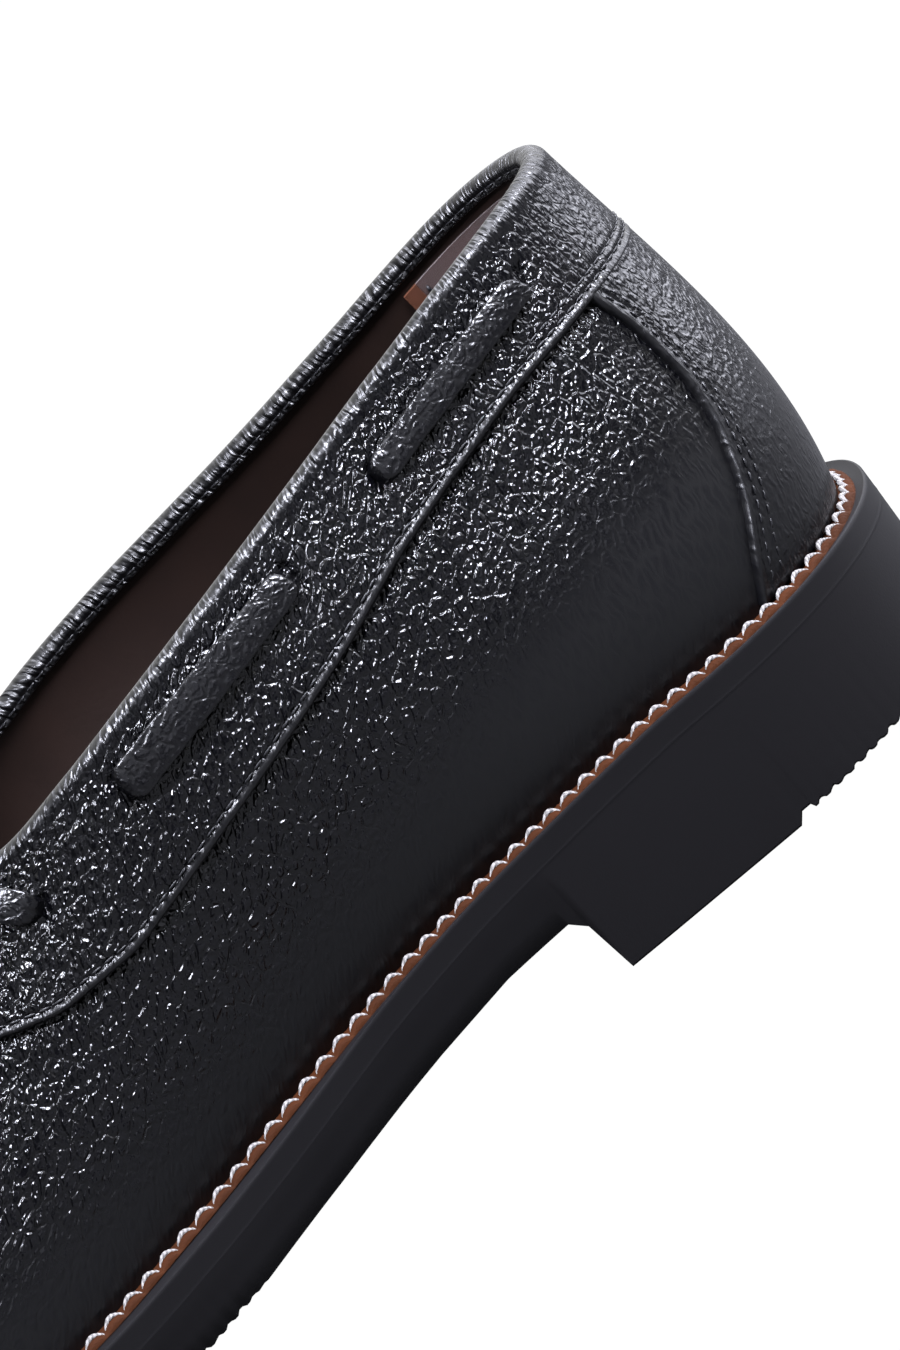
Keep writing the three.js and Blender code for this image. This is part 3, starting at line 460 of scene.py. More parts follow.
        ahead = unit(at(along + 2) - at(along - 2))
        return at(along), ahead, unit(np.cross(ahead, np.array([0.0, 1.0, 0.0])))


def quads(a: Array, b: Array, c: Array, d: Array) -> Array:
    """Two triangles for each four corners, whose numbers are given."""
    return np.stack([np.stack([a, b, c], -1), np.stack([a, c, d], -1)], -2).reshape(-1, 3)


def grid_faces(columns: int, rows: int, closed: bool = False) -> Array:
    """Triangles of a grid of points, numbered by column and then by row.

    Args:
        columns: number of columns.
        rows: points in a column.
        closed: whether the last column joins the first.

    Returns:
        Triangles, (n, 3), that face out where columns run ahead and rows run up.
    """
    column = np.arange(columns if closed else columns - 1)[:, None]
    row = np.arange(rows - 1)[None, :]
    ahead = (column + 1) % columns
    a, b = column * rows + row, column * rows + row + 1
    c, d = ahead * rows + row + 1, ahead * rows + row
    return quads(a, b, c, d)


def weld(base: Array, faces: Array) -> tuple[Array, Array, Array]:
    """Joins points that lie on each other and drops triangles that lose a corner.

    Args:
        base: points, (n, 3).
        faces: triangles.

    Returns:
        The first point of each kept one, where each old point went, and the kept triangles.
    """
    _, first, where = np.unique(np.round(base, 4), axis=0, return_index=True, return_inverse=True)
    where = where.ravel()
    turned = where[faces]
    whole = ((turned[:, 0] != turned[:, 1]) & (turned[:, 1] != turned[:, 2])
             & (turned[:, 2] != turned[:, 0]))
    return first, where, turned[whole]


def shell(outer: Array, inner: Array, faces: Array) -> tuple[Array, Array]:
    """A closed body between two sheets on one grid, with a wall along every open edge.

    Args:
        outer: points of the outer sheet.
        inner: points of the inner sheet.
        faces: the outer sheet's triangles.

    Returns:
        All points and all triangles.
    """
    count = len(outer)
    edges = np.concatenate([faces[:, [0, 1]], faces[:, [1, 2]], faces[:, [2, 0]]])
    key = edges[:, 0].astype(np.int64) * count + edges[:, 1]
    back = edges[:, 1].astype(np.int64) * count + edges[:, 0]
    a, b = edges[~np.isin(back, key)].T
    walls = np.concatenate([np.stack([b, a, a + count], -1), np.stack([b, a + count, b + count], -1)])
    return np.concatenate([outer, inner]), np.concatenate([faces, faces[:, ::-1] + count, walls])


def thick_sheet(points: Array, normals: Array, high: Array, low: Array,
                closed: bool = False) -> tuple[Array, Array, Array]:
    """A closed body between two offsets of a sheet, whose coincident points are joined first.

    Args:
        points: the sheet's points, (columns, rows, 3).
        normals: outward directions there.
        high: how far the outer face lies outside the sheet.
        low: the same for the inner face.
        closed: whether the last column joins the first.

    Returns:
        Points and triangles, and for each joined point its first point on the sheet.
    """
    first, where, faces = weld(points.reshape(-1, 3), grid_faces(*points.shape[:2], closed=closed))
    count = np.bincount(where)[:, None]
    sheets = []
    for offset in (high, low):
        moved = (points + normals * np.asarray(offset)[..., None]).reshape(-1, 3)
        sheets.append(np.stack([np.bincount(where, moved[:, i]) for i in range(3)], -1) / count)
    return *shell(*sheets, faces), first


def tube(rings: Array) -> Array:
    """Triangles of closed rings, (rings, sides), each joined to the next, with fans over the ends.

    Args:
        rings: numbers of the points; the first and last ring are single points repeated.

    Returns:
        Triangles; those without area go when the mesh is welded.
    """
    nxt = np.roll(rings, -1, axis=1)
    return quads(rings[:-1], nxt[:-1], nxt[1:], rings[1:])


def srgb(code: str) -> tuple[float, float, float, float]:
    """An sRGB hex colour as linear values with alpha one."""
    values = [int(code.lstrip("#")[i:i + 2], 16) / 255 for i in (0, 2, 4)]
    linear = [v / 12.92 if v <= 0.04045 else ((v + 0.055) / 1.055) ** 2.4 for v in values]
    return (*linear, 1.0)


def add(tree: bpy.types.NodeTree, kind: str, values: Optional[Mapping] = None,
        **settings: object) -> Node:
    """Adds a node with its settings, and with its sockets set or linked.

    Args:
        tree: the node tree.
        kind: the node's type name, without its first word ShaderNode.
        values: socket names or numbers, each with a plain value, a socket to link from, or a node,
            whose first output is linked.
        **settings: properties of the node.

    Returns:
        The node.
    """
    node = tree.nodes.new("ShaderNode" + kind)
    for name, value in settings.items():
        setattr(node, name, value)
    for name, value in (values or {}).items():
        source = value.outputs[0] if isinstance(value, Node) else value
        if isinstance(source, bpy.types.NodeSocket):
            tree.links.new(source, node.inputs[name])
        else:
            node.inputs[name].default_value = source
    return node


def new_material(name: str) -> tuple[bpy.types.Material, bpy.types.NodeTree]:
    """An empty node material and its tree."""
    material = bpy.data.materials.new(name)
    material.use_nodes = True
    material.node_tree.nodes.clear()
    return material, material.node_tree


def millimetres(tree: bpy.types.NodeTree) -> Node:
    """Object coordinates in millimetres."""
    place = add(tree, "TexCoord")
    return add(tree, "VectorMath", {0: place.outputs["Object"], "Scale": 1 / MM}, operation="SCALE")


def dress(material: bpy.types.Material, colours: tuple[str, str],
          share: Union[Node, bpy.types.NodeSocket], height: Node, values: Mapping) -> bpy.types.Material:
    """Ends a material: two mixed colours, a relief in millimetres, a shader and the output.

    Args:
        material: the material to end.
        colours: the sRGB colours at share 0 and 1.
        share: the node, or its socket, that mixes them.
        height: the node with the relief's height.
        values: the shader's other sockets.

    Returns:
        The material.
    """
    tree = material.node_tree
    shade = add(tree, "Mix", {0: share, 6: srgb(colours[0]), 7: srgb(colours[1])}, data_type="RGBA")
    bump = add(tree, "Bump", {"Height": height, "Distance": MM, "Strength": 1.0})
    shader = add(tree, "BsdfPrincipled", {"Base Color": shade.outputs[2], "Normal": bump, **values})
    add(tree, "OutputMaterial", {"Surface": shader})
    return material


@dataclass(frozen=True)
class PebbledCalf:
    """Full-grain calf, drum-dyed black, with a tumbled pebble grain under a glossy pigment finish.

    The eye gets flat black cells about 2 mm wide with crinkled valleys between them, whose edges
    catch the light as broken dashes. Where the last stretched the leather flat, low on the quarters,
    only faint streaks are left, and a rolled edge has fine wrinkles across it.
    """

    name: str = "black pebbled calf, drum-dyed and glossed"
    colour: str = "#030305"
    # Painted shade: the valleys between the cells get this slightly darker colour.
    valley: str = "#020203"
    cell: float = 1.9
    depth: float = 0.22
    crinkle_depth: float = 0.04
    roughness: float = 0.15

    def build(self) -> bpy.types.Material:
        """Makes the material on the hide's flat coordinates in millimetres.

        Returns:
            The material. It reads the points' "hide", "grain", "coarse" and "pucker".
        """
        material, tree = new_material(self.name)
        hide = add(tree, "Attribute", attribute_name="hide").outputs["Vector"]
        grain, big, pucker = (add(tree, "Attribute", attribute_name=name).outputs["Fac"]
                              for name in ("grain", "coarse", "pucker"))
        flat = {"noise_dimensions": "2D"}
        times, plus = {"operation": "MULTIPLY"}, {"operation": "MULTIPLY_ADD"}
        wander = add(tree, "TexNoise", {"Vector": hide, "Scale": 0.3, "Detail": 1.0}, **flat)
        centred = add(tree, "VectorMath", {0: wander.outputs["Color"], 1: (0.5, 0.5, 0.5)},
                      operation="SUBTRACT")
        moved = add(tree, "VectorMath", {0: centred, 1: (1.6, 1.6, 0.0), 2: hide}, **plus)

        def cells(wide: float, tall: float, valley: float) -> Node:
            """Flat-topped cells, sized as shares of the usual one, with valleys of a given share."""
            size = (1 / (self.cell * wide), 1 / (self.cell * tall), 0.0)
            place = add(tree, "VectorMath", {0: moved, 1: size}, **times)
            edge = add(tree, "TexVoronoi", {"Vector": place, "Scale": 1.0},
                       voronoi_dimensions="2D", feature="DISTANCE_TO_EDGE")
            return add(tree, "MapRange", {"Value": edge, "From Min": 0.0, "From Max": valley},
                       interpolation_type="SMOOTHSTEP")

        # Pebbles, bigger round the throat, which the last's pull turns into long streaks.
        pebble = add(tree, "Mix", {"Factor": big, "A": cells(1, 1.3, 0.2), "B": cells(1.15, 1.3, 0.3)})
        body = add(tree, "Mix", {"Factor": grain, "A": cells(0.62, 2.4, 0.4), "B": pebble})
        patchy = add(tree, "TexNoise", {"Vector": hide, "Scale": 0.8, "Detail": 1.0}, **flat)
        patch = add(tree, "MapRange", {"Value": patchy, "From Min": 0.35, "From Max": 0.65,
                                       "To Min": 0.3, "To Max": 1.3})
        deep = add(tree, "Math", {0: big, 1: 0.16, 2: self.depth}, **plus)
        uneven = add(tree, "Math", {0: patch, 1: deep}, **times)
        tall = add(tree, "Mix", {"Factor": grain, "A": 0.02, "B": uneven})
        cell_height = add(tree, "Math", {0: body, 1: tall}, **times)
        # Crinkles, which crowd in the valleys.
        crowd = add(tree, "Math", {0: pebble, 1: -0.86, 2: 1.0}, **plus)
        squared = add(tree, "Math", {0: grain, 1: grain}, **times)
        low = add(tree, "Math", {0: squared, 1: self.crinkle_depth, 2: 0.002}, **plus)
        crinkle_height = add(tree, "Math", {0: crowd, 1: low}, **times)
        crinkle = cells(0.36, 0.44, 0.36)
        crinkled = add(tree, "Math", {0: crinkle, 1: crinkle_height, 2: cell_height}, **plus)
        # Folds across a rolled edge, and a fine tooth over everything.
        fold_place = add(tree, "VectorMath", {0: moved, 1: (0.85, 0.16, 0.0)}, **times)
        fold = add(tree, "TexNoise", {"Vector": fold_place, "Scale": 1.0, "Detail": 1.2}, **flat)
        fold_height = add(tree, "Math", {0: pucker, 1: 1.1}, **times)
        folded = add(tree, "Math", {0: fold, 1: fold_height, 2: crinkled}, **plus)
        fine = add(tree, "TexNoise", {"Vector": hide, "Scale": 3.2, "Detail": 1.0}, **flat)
        height = add(tree, "Math", {0: fine, 1: 0.0012, 2: folded}, **plus)
        # The valleys and the stretched leather shine less.
        dull = add(tree, "Math", {0: body, 1: -0.08, 2: self.roughness + 0.28}, **plus)
        rough = add(tree, "Math", {0: grain, 1: -0.2, 2: dull}, **plus)
        # The colour follows the cells and is darker in the valleys, which is painted shade.
        return dress(material, (self.valley, self.colour), body, height,
                     {"Roughness": rough, "IOR": 1.5})


@dataclass(frozen=True)
class SmoothHide:
    """Smooth dyed leather or fabric with fine creases, for the lining, the sock and small trims.

    The eye gets a soft even surface with faint marks, and little shine.
    """

    name: str
    colour: str
    dark: str
    roughness: float = 0.5
    mark: float = 3.0
    depth: float = 0.04
    sheen: float = 0.0
    gloss: float = 0.5

    def build(self) -> bpy.types.Material:
        """Makes the material from a slow noise for colour and a fine one for the surface.

        Returns:
            The material.
        """
        material, tree = new_material(self.name)
        place = millimetres(tree)
        slow = add(tree, "TexNoise", {"Vector": place, "Scale": 0.11, "Detail": 4.0})
        fine = add(tree, "TexNoise", {"Vector": place, "Scale": 3 / self.mark, "Detail": 5.0,
                                      "Roughness": 0.65})
        height = add(tree, "Math", {0: fine, 1: self.depth}, operation="MULTIPLY")
        return dress(material, (self.dark, self.colour), slow, height, {
            "Roughness": self.roughness, "Sheen Weight": self.sheen, "Sheen Roughness": 0.5,
            "Specular IOR Level": self.gloss,
        })


@dataclass(frozen=True)
class MouldedFoam:
    """EVA foam, moulded and skinned, charcoal black.

    The eye gets a dead matt surface with a faint cloudiness and very fine pits.
    """

    name: str = "EVA foam, moulded, charcoal black"
    colour: str = "#0b0a0c"
    dark: str = "#080709"

    def build(self) -> bpy.types.Material:
        """Makes the material from a cloudy colour and a fine pitted surface.

        Returns:
            The material.
        """
        material, tree = new_material(self.name)
        place = millimetres(tree)
        cloud = add(tree, "TexNoise", {"Vector": place, "Scale": 0.06, "Detail": 5.0})
        pits = add(tree, "TexNoise", {"Vector": place, "Scale": 3.0, "Detail": 3.0})
        height = add(tree, "Math", {0: pits, 1: 0.02}, operation="MULTIPLY")
        return dress(material, (self.dark, self.colour), cloud, height,
                     {"Roughness": 0.62, "Specular IOR Level": 0.22})


@dataclass(frozen=True)
class SpunThread:
    """Spun thread, waxed, with its twist showing as fine slanted lines, and painted shade in the twist's
    grooves.

    The eye gets a soft rope-like surface, pale on the welt and black on the seams.
    """

    name: str
    colour: str
    # The colour painted into the twist's grooves, as painted shade.
    dark: str
    roughness: float = 0.6

    def build(self) -> bpy.types.Material:
        """Makes the material from slanted waves 0.4 mm apart, which set both the relief and a painted shade,
        darker in the grooves.

        Returns:
            The material.
        """
        material, tree = new_material(self.name)
        wave = add(tree, "TexWave", {"Vector": millimetres(tree), "Scale": 0.8, "Distortion": 1.5,
                                     "Detail": 2.0, "Detail Scale": 3.0}, bands_direction="DIAGONAL")
        twist = wave.outputs["Fac"]
        height = add(tree, "Math", {0: twist, 1: 0.06}, operation="MULTIPLY")
        # The colour follows the twist's height: the grooves are painted darker, as painted shade.
        return dress(material, (self.dark, self.colour), twist, height, {"Roughness": self.roughness})


@dataclass(frozen=True)
class Finishes:
    """Every finish of the shoe, built once."""

    calf: bpy.types.Material
    lace: bpy.types.Material
    lining: bpy.types.Material
    suede: bpy.types.Material
    tape: bpy.types.Material
    sock: bpy.types.Material
    welt: bpy.types.Material
    foam: bpy.types.Material
    pale_thread: bpy.types.Material
    black_thread: bpy.types.Material

    @staticmethod
    def build() -> "Finishes":
        """Builds all the materials."""
        return Finishes(
            calf=PebbledCalf().build(),
            lace=PebbledCalf(name="black calf lace, cut and glossed", cell=2.1, depth=0.07,
                             crinkle_depth=0.012, roughness=0.2).build(),
            lining=SmoothHide("brown calf lining, vegetable-tanned", "#221611", "#150d0a", 0.42).build(),
            suede=SmoothHide("red-brown suede, buffed", "#3d1f17", "#2a1510", 0.85, 0.6, 0.12,
                             0.5).build(),
            tape=SmoothHide("orange-brown seam tape, woven", "#5a2f16", "#40210f", 0.7, 0.8,
                            0.05).build(),
            sock=SmoothHide("brown leather sock, aniline-dyed", "#2c1f18", "#201611", 0.5).build(),
            welt=SmoothHide("brown welt leather, vegetable-tanned and ribbed", "#40200c", "#1e0d04",
                            0.75, 0.9, 0.08, gloss=0.08).build(),
            foam=MouldedFoam().build(),
            # The second colour of each thread is painted shade for its twist's grooves.
            pale_thread=SpunThread("off-white polyester thread, waxed", "#8a8785", "#575452").build(),
            black_thread=SpunThread("black polyester thread, waxed", "#17171a", "#0b0b0d", 0.45).build(),
        )


def put(name: str, data: bpy.types.ID, axes: Optional[Array] = None,
        place: Sequence[float] = (0, 0, 0)) -> bpy.types.Object:
    """Puts an object into the scene, and turns and moves it if axes are given.

    Args:
        name: the object's name.
        data: its mesh, light or camera.
        axes: its own axes, as the columns of a matrix.
        place: where it stands, in metres.

    Returns:
        The object.
    """
    thing = bpy.data.objects.new(name, data)
    bpy.context.scene.collection.objects.link(thing)
    if axes is not None:
        matrix = Matrix(axes.tolist()).to_4x4()
        matrix.translation = place
        thing.matrix_world = matrix
    return thing


def make(name: str, points: Array, faces: Array, material: bpy.types.Material, nodes: Sequence[str] = (),
         slot: Optional[str] = None, marks: Optional[Mapping[str, Array]] = None,
         sharp: float = 60.0) -> bpy.types.Object:
    """Makes a closed mesh, dresses it and fixes it to the shoe.

    Args:
        name: the piece's name.
        points: its points in millimetres, lengths from the back of the heel.
        faces: its triangles.
        material: its finish.
        nodes: CAD nodes that it stands for.
        slot: a material slot's name; not used.
        marks: named numbers, one for each point, that the finish reads.
        sharp: angle in degrees above which an edge stays crisp.

    Returns:
        The object. Coincident points are joined, and the faces are turned if the volume is negative.
    """
    first, _, tris = weld(points, faces)
    kept = (points[first] - np.array([SOLE_LENGTH / 2, 0, 0])) * MM
    a, b, c = (kept[tris[:, i]] for i in range(3))
    if np.einsum("ij,ij->", a, np.cross(b, c)) < 0:
        tris = tris[:, ::-1]
    mesh = bpy.data.meshes.new(name)
    mesh.from_pydata(kept.tolist(), [], tris.tolist())
    mesh.shade_smooth()
    mesh.set_sharp_from_angle(angle=math.radians(sharp))
    for mark, value in (marks or {}).items():
        value = np.asarray(value, np.float32)
        vector = value.ndim == 2
        layer = mesh.attributes.new(mark, "FLOAT_VECTOR" if vector else "FLOAT", "POINT")
        full = np.broadcast_to(value, (len(points), 3) if vector else (len(points),))
        values = np.ascontiguousarray(full[first]).ravel()
        layer.data.foreach_set("vector" if vector else "value", values)
    mesh.materials.append(material)
    piece = put(name, mesh)
    if nodes:
        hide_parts(*nodes)
    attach(piece, "root")
    LOG.info("%s: %d triangles", name, len(tris))
    return piece


def resample(points: Array, normals: Array, pitch: float) -> tuple[Array, Array, Array]:
    """Places at even spacing along a line on the shoe.

    Args:
        points: the line's points.
        normals: outward directions there.
        pitch: the wanted spacing; it is rounded so that a whole number fits.

    Returns:
        Middle points, ways ahead and normals.
    """
    run = lengths(points)
    count = max(int(round(run[-1] / pitch)), 1)
    at = (np.arange(count) + 0.5) * run[-1] / count

    def read(values: Array, where: Array) -> Array:
        """The values at distances along the line."""
        return np.stack([np.interp(where, run, values[:, i]) for i in range(3)], -1)

    ahead = unit(read(points, at + 0.3) - read(points, at - 0.3))
    return read(points, at), ahead, unit(read(normals, at))


def threads(middle: Array, ahead: Array, out: Array, length: Array, radius: float, lift: float,
            slant: float = 0.0, bow: float = 0.0, rings: int = 7, sides: int = 6) -> tuple[Array, Array]:
    """Stitches: each a short thread that arches out of the leather and dives in at both ends.

    Args:
        middle: the stitches' middle points.
        ahead: the way along the seam.
        out: the way out of the leather.
        length: from hole to hole.
        radius: the thread's radius.
        lift: height of the arch, a sine over the length.
        slant: how far the two ends lie apart across the seam.
        bow: how far both ends lie to one side of the middle.
        rings: points along a stitch.
        sides: points round it.

    Returns:
        Points and triangles of all stitches together.
    """
    t = np.linspace(0, 1, rings)
    across = np.cross(out, ahead)
    arch = np.sin(np.pi * t)
    line = (middle[:, None] + ahead[:, None] * ((t - 0.5)[None, :, None] * length)
            + out[:, None] * ((arch - 0.35) * lift)[None, :, None]
            + across[:, None] * ((t - 0.5) * slant + (1 - arch) * bow)[None, :, None])
    width = radius * (0.5 + 0.5 * arch ** 0.5)
    width[[0, -1]] = 0.0
    turn = np.linspace(0, 2 * np.pi, sides, endpoint=False)
    ring = (out[:, None, None] * np.cos(turn)[None, None, :, None]
            + across[:, None, None] * np.sin(turn)[None, None, :, None])
    points = line[:, :, None] + ring * width[None, :, None, None]
    numbers = np.arange(points[..., 0].size).reshape(points.shape[:3])
    nxt = np.roll(numbers, -1, axis=2)
    return points.reshape(-1, 3), quads(numbers[:, :-1], nxt[:, :-1], nxt[:, 1:], numbers[:, 1:])


def sew(name: str, line: Array, out: Array, pitch: float, size: Sequence[float],
        material: bpy.types.Material) -> None:
    """Makes a row of stitches.

    Args:
        name: the piece's name.
        line: points along the row.
        out: the way out of the leather there.
        pitch: from stitch to stitch.
        size: a stitch's length, its radius and its height.
        material: the thread.
    """
    make(name, *threads(*resample(line, out, pitch), *size), material)


def leather_marks(last: Last, points: Array, hide: Array, pucker: Array = 0.0) -> dict[str, Array]:
    """What the leather's finish reads at points of the upper.

    Args:
        last: the shoe's shape.
        points: points of the upper.
        hide: their places on the flat hide.
        pucker: how strongly the leather is wrinkled across an edge.

    Returns:
        "hide"; "grain", 1 where the pebbles stand up and near 0 where the last stretched them flat
        low on the quarters; "coarse", 1 round the throat, where they are biggest; and "pucker".
    """
    along, height = points[:, 0], points[:, 2]
    line = last.smooth_height(along)
    return {
        "hide": hide,
        "grain": smooth(-9, 10, height - line) * (0.6 + 0.4 * smooth(6, 26, along)),
        "coarse": smooth(98, 128, along) * smooth(40, 56, height) * 0.8,
        "pucker": np.broadcast_to(pucker, along.shape),
    }


def both(values: Array) -> Array:
    """The numbers of one sheet, repeated for the other sheet of a shell."""
    return np.concatenate([values, values])


@dataclass
class Outsole:
    """The unit sole: a sloped ledge, a rim, a mould line, toothed tread and a separate-looking heel."""

    columns: int = 1500
    across: int = 10
    tooth_pitch: float = 2.4
    tooth_depth: float = 0.5

    def underside(self, at: Array) -> Array:
        """Height of the underside: straight between the table's rows, with teeth where it treads.

        Args:
            at: stations.

        Returns:
            Heights, never below the floor.
        """
        x, y = (np.array(v, float) for v in zip(*UNDERSIDE.rows))
        base = np.interp(at, x, y)
        wave = np.abs(np.mod(at / self.tooth_pitch, 1.0) - 0.5) * 2
        uneven = 0.75 + 0.25 * np.sin(at * 1.7)
        zone = (smooth(14, 17, at) * (1 - smooth(34.2, 34.8, at))
                + smooth(135, 139, at) * (1 - smooth(232, 240, at)))
        return base + zone * self.tooth_depth * uneven * smooth(0.3, 0.8, wave)

    def build(self, last: Last, finishes: Finishes) -> None:
        """Builds the sole as rows round its side, with flat lines across below and above.

        Args:
            last: the shoe's shape.
            finishes: the materials.
        """
        half = self.columns // 2
        # Columns stand exactly at the rows of the notch and of the heel's breast.
        steps = np.array([row[0] for row in UNDERSIDE.rows if NOTCH <= row[0] <= BREAST])
        lateral = np.unique(np.concatenate([np.linspace(0, 1, half + 1), last.around(steps)]))
        around = np.concatenate([lateral, 2 - lateral[-2:0:-1]])
        at = last.station(around)
        under, rim, seat = self.underside(at), last.rim(at), last.seat(at)
        line = rim - RIM_BAND
        wall, ledge = line - under, seat - rim
        levels = [
            (SOLE_FLARE + 0.35, under), (SOLE_FLARE, under + 0.35), (1.2, under + wall * 0.4),
            (0.75, under + wall * 0.7), (0.32, line - 0.5), (0.3, line - 0.2), (0.26, line - 0.06),
            (0.26, line + 0.06), (0.27, line + 0.2), (0.25, line + 0.5), (0.1, rim - 1.1),
            (0.07, rim - 0.7), (0.05, rim - 0.35), (0.15, rim - 0.08), (0.4, rim),
            (1.2, rim + ledge * 0.45), (LEDGE_WIDTH + 0.6, seat),
        ]
        side = np.stack([last.edge(around, np.full(at.shape, inset), height)
                         for inset, height in levels], 1)
        rows, count = len(levels), len(around)
        faces = [grid_faces(count, rows, closed=True)]
        points = [side.reshape(-1, 3)]
        start = count * rows
        size = len(lateral)
        mirror = (count - np.arange(size)) % count
        share = np.linspace(0, 1, self.across)[None, :, None]
        for level in (0, rows - 1):
            near, far = side[np.arange(size), level][:, None], side[mirror, level][:, None]
            sheet = near * (1 - share) + far * share
            points.append(sheet.reshape(-1, 3))
            sheet_faces = grid_faces(size, self.across) + start
            faces.append(sheet_faces if level else sheet_faces[:, ::-1])
            start += size * self.across
        make("sole_unit", np.concatenate(points), np.concatenate(faces), finishes.foam, ["outsole"],
             "sole_rubber", sharp=35)


@dataclass
class Welt:
    """The welt: a brown strip with slanted ribs on both sides of a row of pale stitches."""

    columns: int = 2400
    rib_height: float = 0.2
    # How far the section's points lie inside the sole's edge, and how high over the ledge.
    inset: tuple[float, ...] = (2.2, 2.25, 2.4, 2.7, 3.05, 3.4, 3.7, 4.2, 4.7, 5.0, 5.3, 5.7, 6.1, 6.3, 6.4)
    crown: tuple[float, ...] = (0, 0.4, 0.75, 1.05, 1.15, 1.1, 0.95, 0.7, 0.5, 0.5, 0.55, 0.6, 0.6, 0.5, 0)

    def build(self, last: Last, finishes: Finishes) -> None:
        """Builds the strip as a closed section carried round the sole, and the stitches on it.

        Its crown swells between the holes of the stitches and sinks at them.

        Args:
            last: the shoe's shape.
            finishes: the materials.
        """
        around = np.linspace(0, 2, self.columns, endpoint=False)
        at = last.station(around)
        low = last.seat(at) + 0.05
        middle = last.edge(around, np.full(at.shape, 4.2), low)
        step = np.diff(lengths(np.concatenate([middle, middle[:1]])))
        pitch = STITCH_PITCH + 0.4 * smooth(60, 120, at)
        count = np.concatenate([[0], np.cumsum(step / pitch)])
        stitches = int(round(count[-1]))
        count = count * stitches / count[-1]
        phase = count[:-1, None]
        inset, crown = np.array(self.inset), np.array(self.crown)
        lobe = np.abs(np.sin(np.pi * phase)) ** 0.7
        outer = smooth(0, 1, (3.9 - inset) / 1.4)[None, :]
        ribs = np.cos(2 * np.pi * (phase * 5 - (inset - 3.0)[None, :] * 1.1))
        inner = bell(inset, 5.35, 0.4)[None, :]
        inner_ribs = np.cos(2 * np.pi * (phase * 2 - (inset - 5.3)[None, :] * 0.5))
        height = crown[None, :] * (1 - 0.8 * outer * (1 - lobe)) + 0.06 * outer * lobe * ribs
        height = height + inner * self.rib_height * inner_ribs
        height[:, [0, -1]] = 0.0
        points = last.edge(around[:, None] + 0 * inset, inset + 0 * phase, low[:, None] + height)
        ring = grid_faces(len(at), len(inset), closed=True)
        first = np.arange(len(at)) * len(inset)
        last_row = first + len(inset) - 1
        base = quads(np.roll(first, -1), np.roll(last_row, -1), last_row, first)
        make("welt_strip", points.reshape(-1, 3), np.concatenate([ring, base]), finishes.welt, ["welt"],
             "welt_leather", sharp=50)
        line = last.edge(around, np.full(at.shape, 3.75), low + 0.62)
        line = np.concatenate([line, line[:1]])
        holes = np.stack([np.interp(np.arange(stitches + 1), count, line[:, i]) for i in range(3)], -1)
        middle, ahead = (holes[1:] + holes[:-1]) / 2, unit(np.diff(holes, axis=0))
        out = np.broadcast_to([0.0, 0.0, 1.0], ahead.shape)
        length = np.linalg.norm(np.diff(holes, axis=0), axis=1)[:, None, None]
        points, faces = threads(middle, ahead, out, length * 1.05, 0.44, 1.1, -0.25, 0.85, rings=11, sides=8)
        make("welt_stitches", points, faces, finishes.pale_thread)


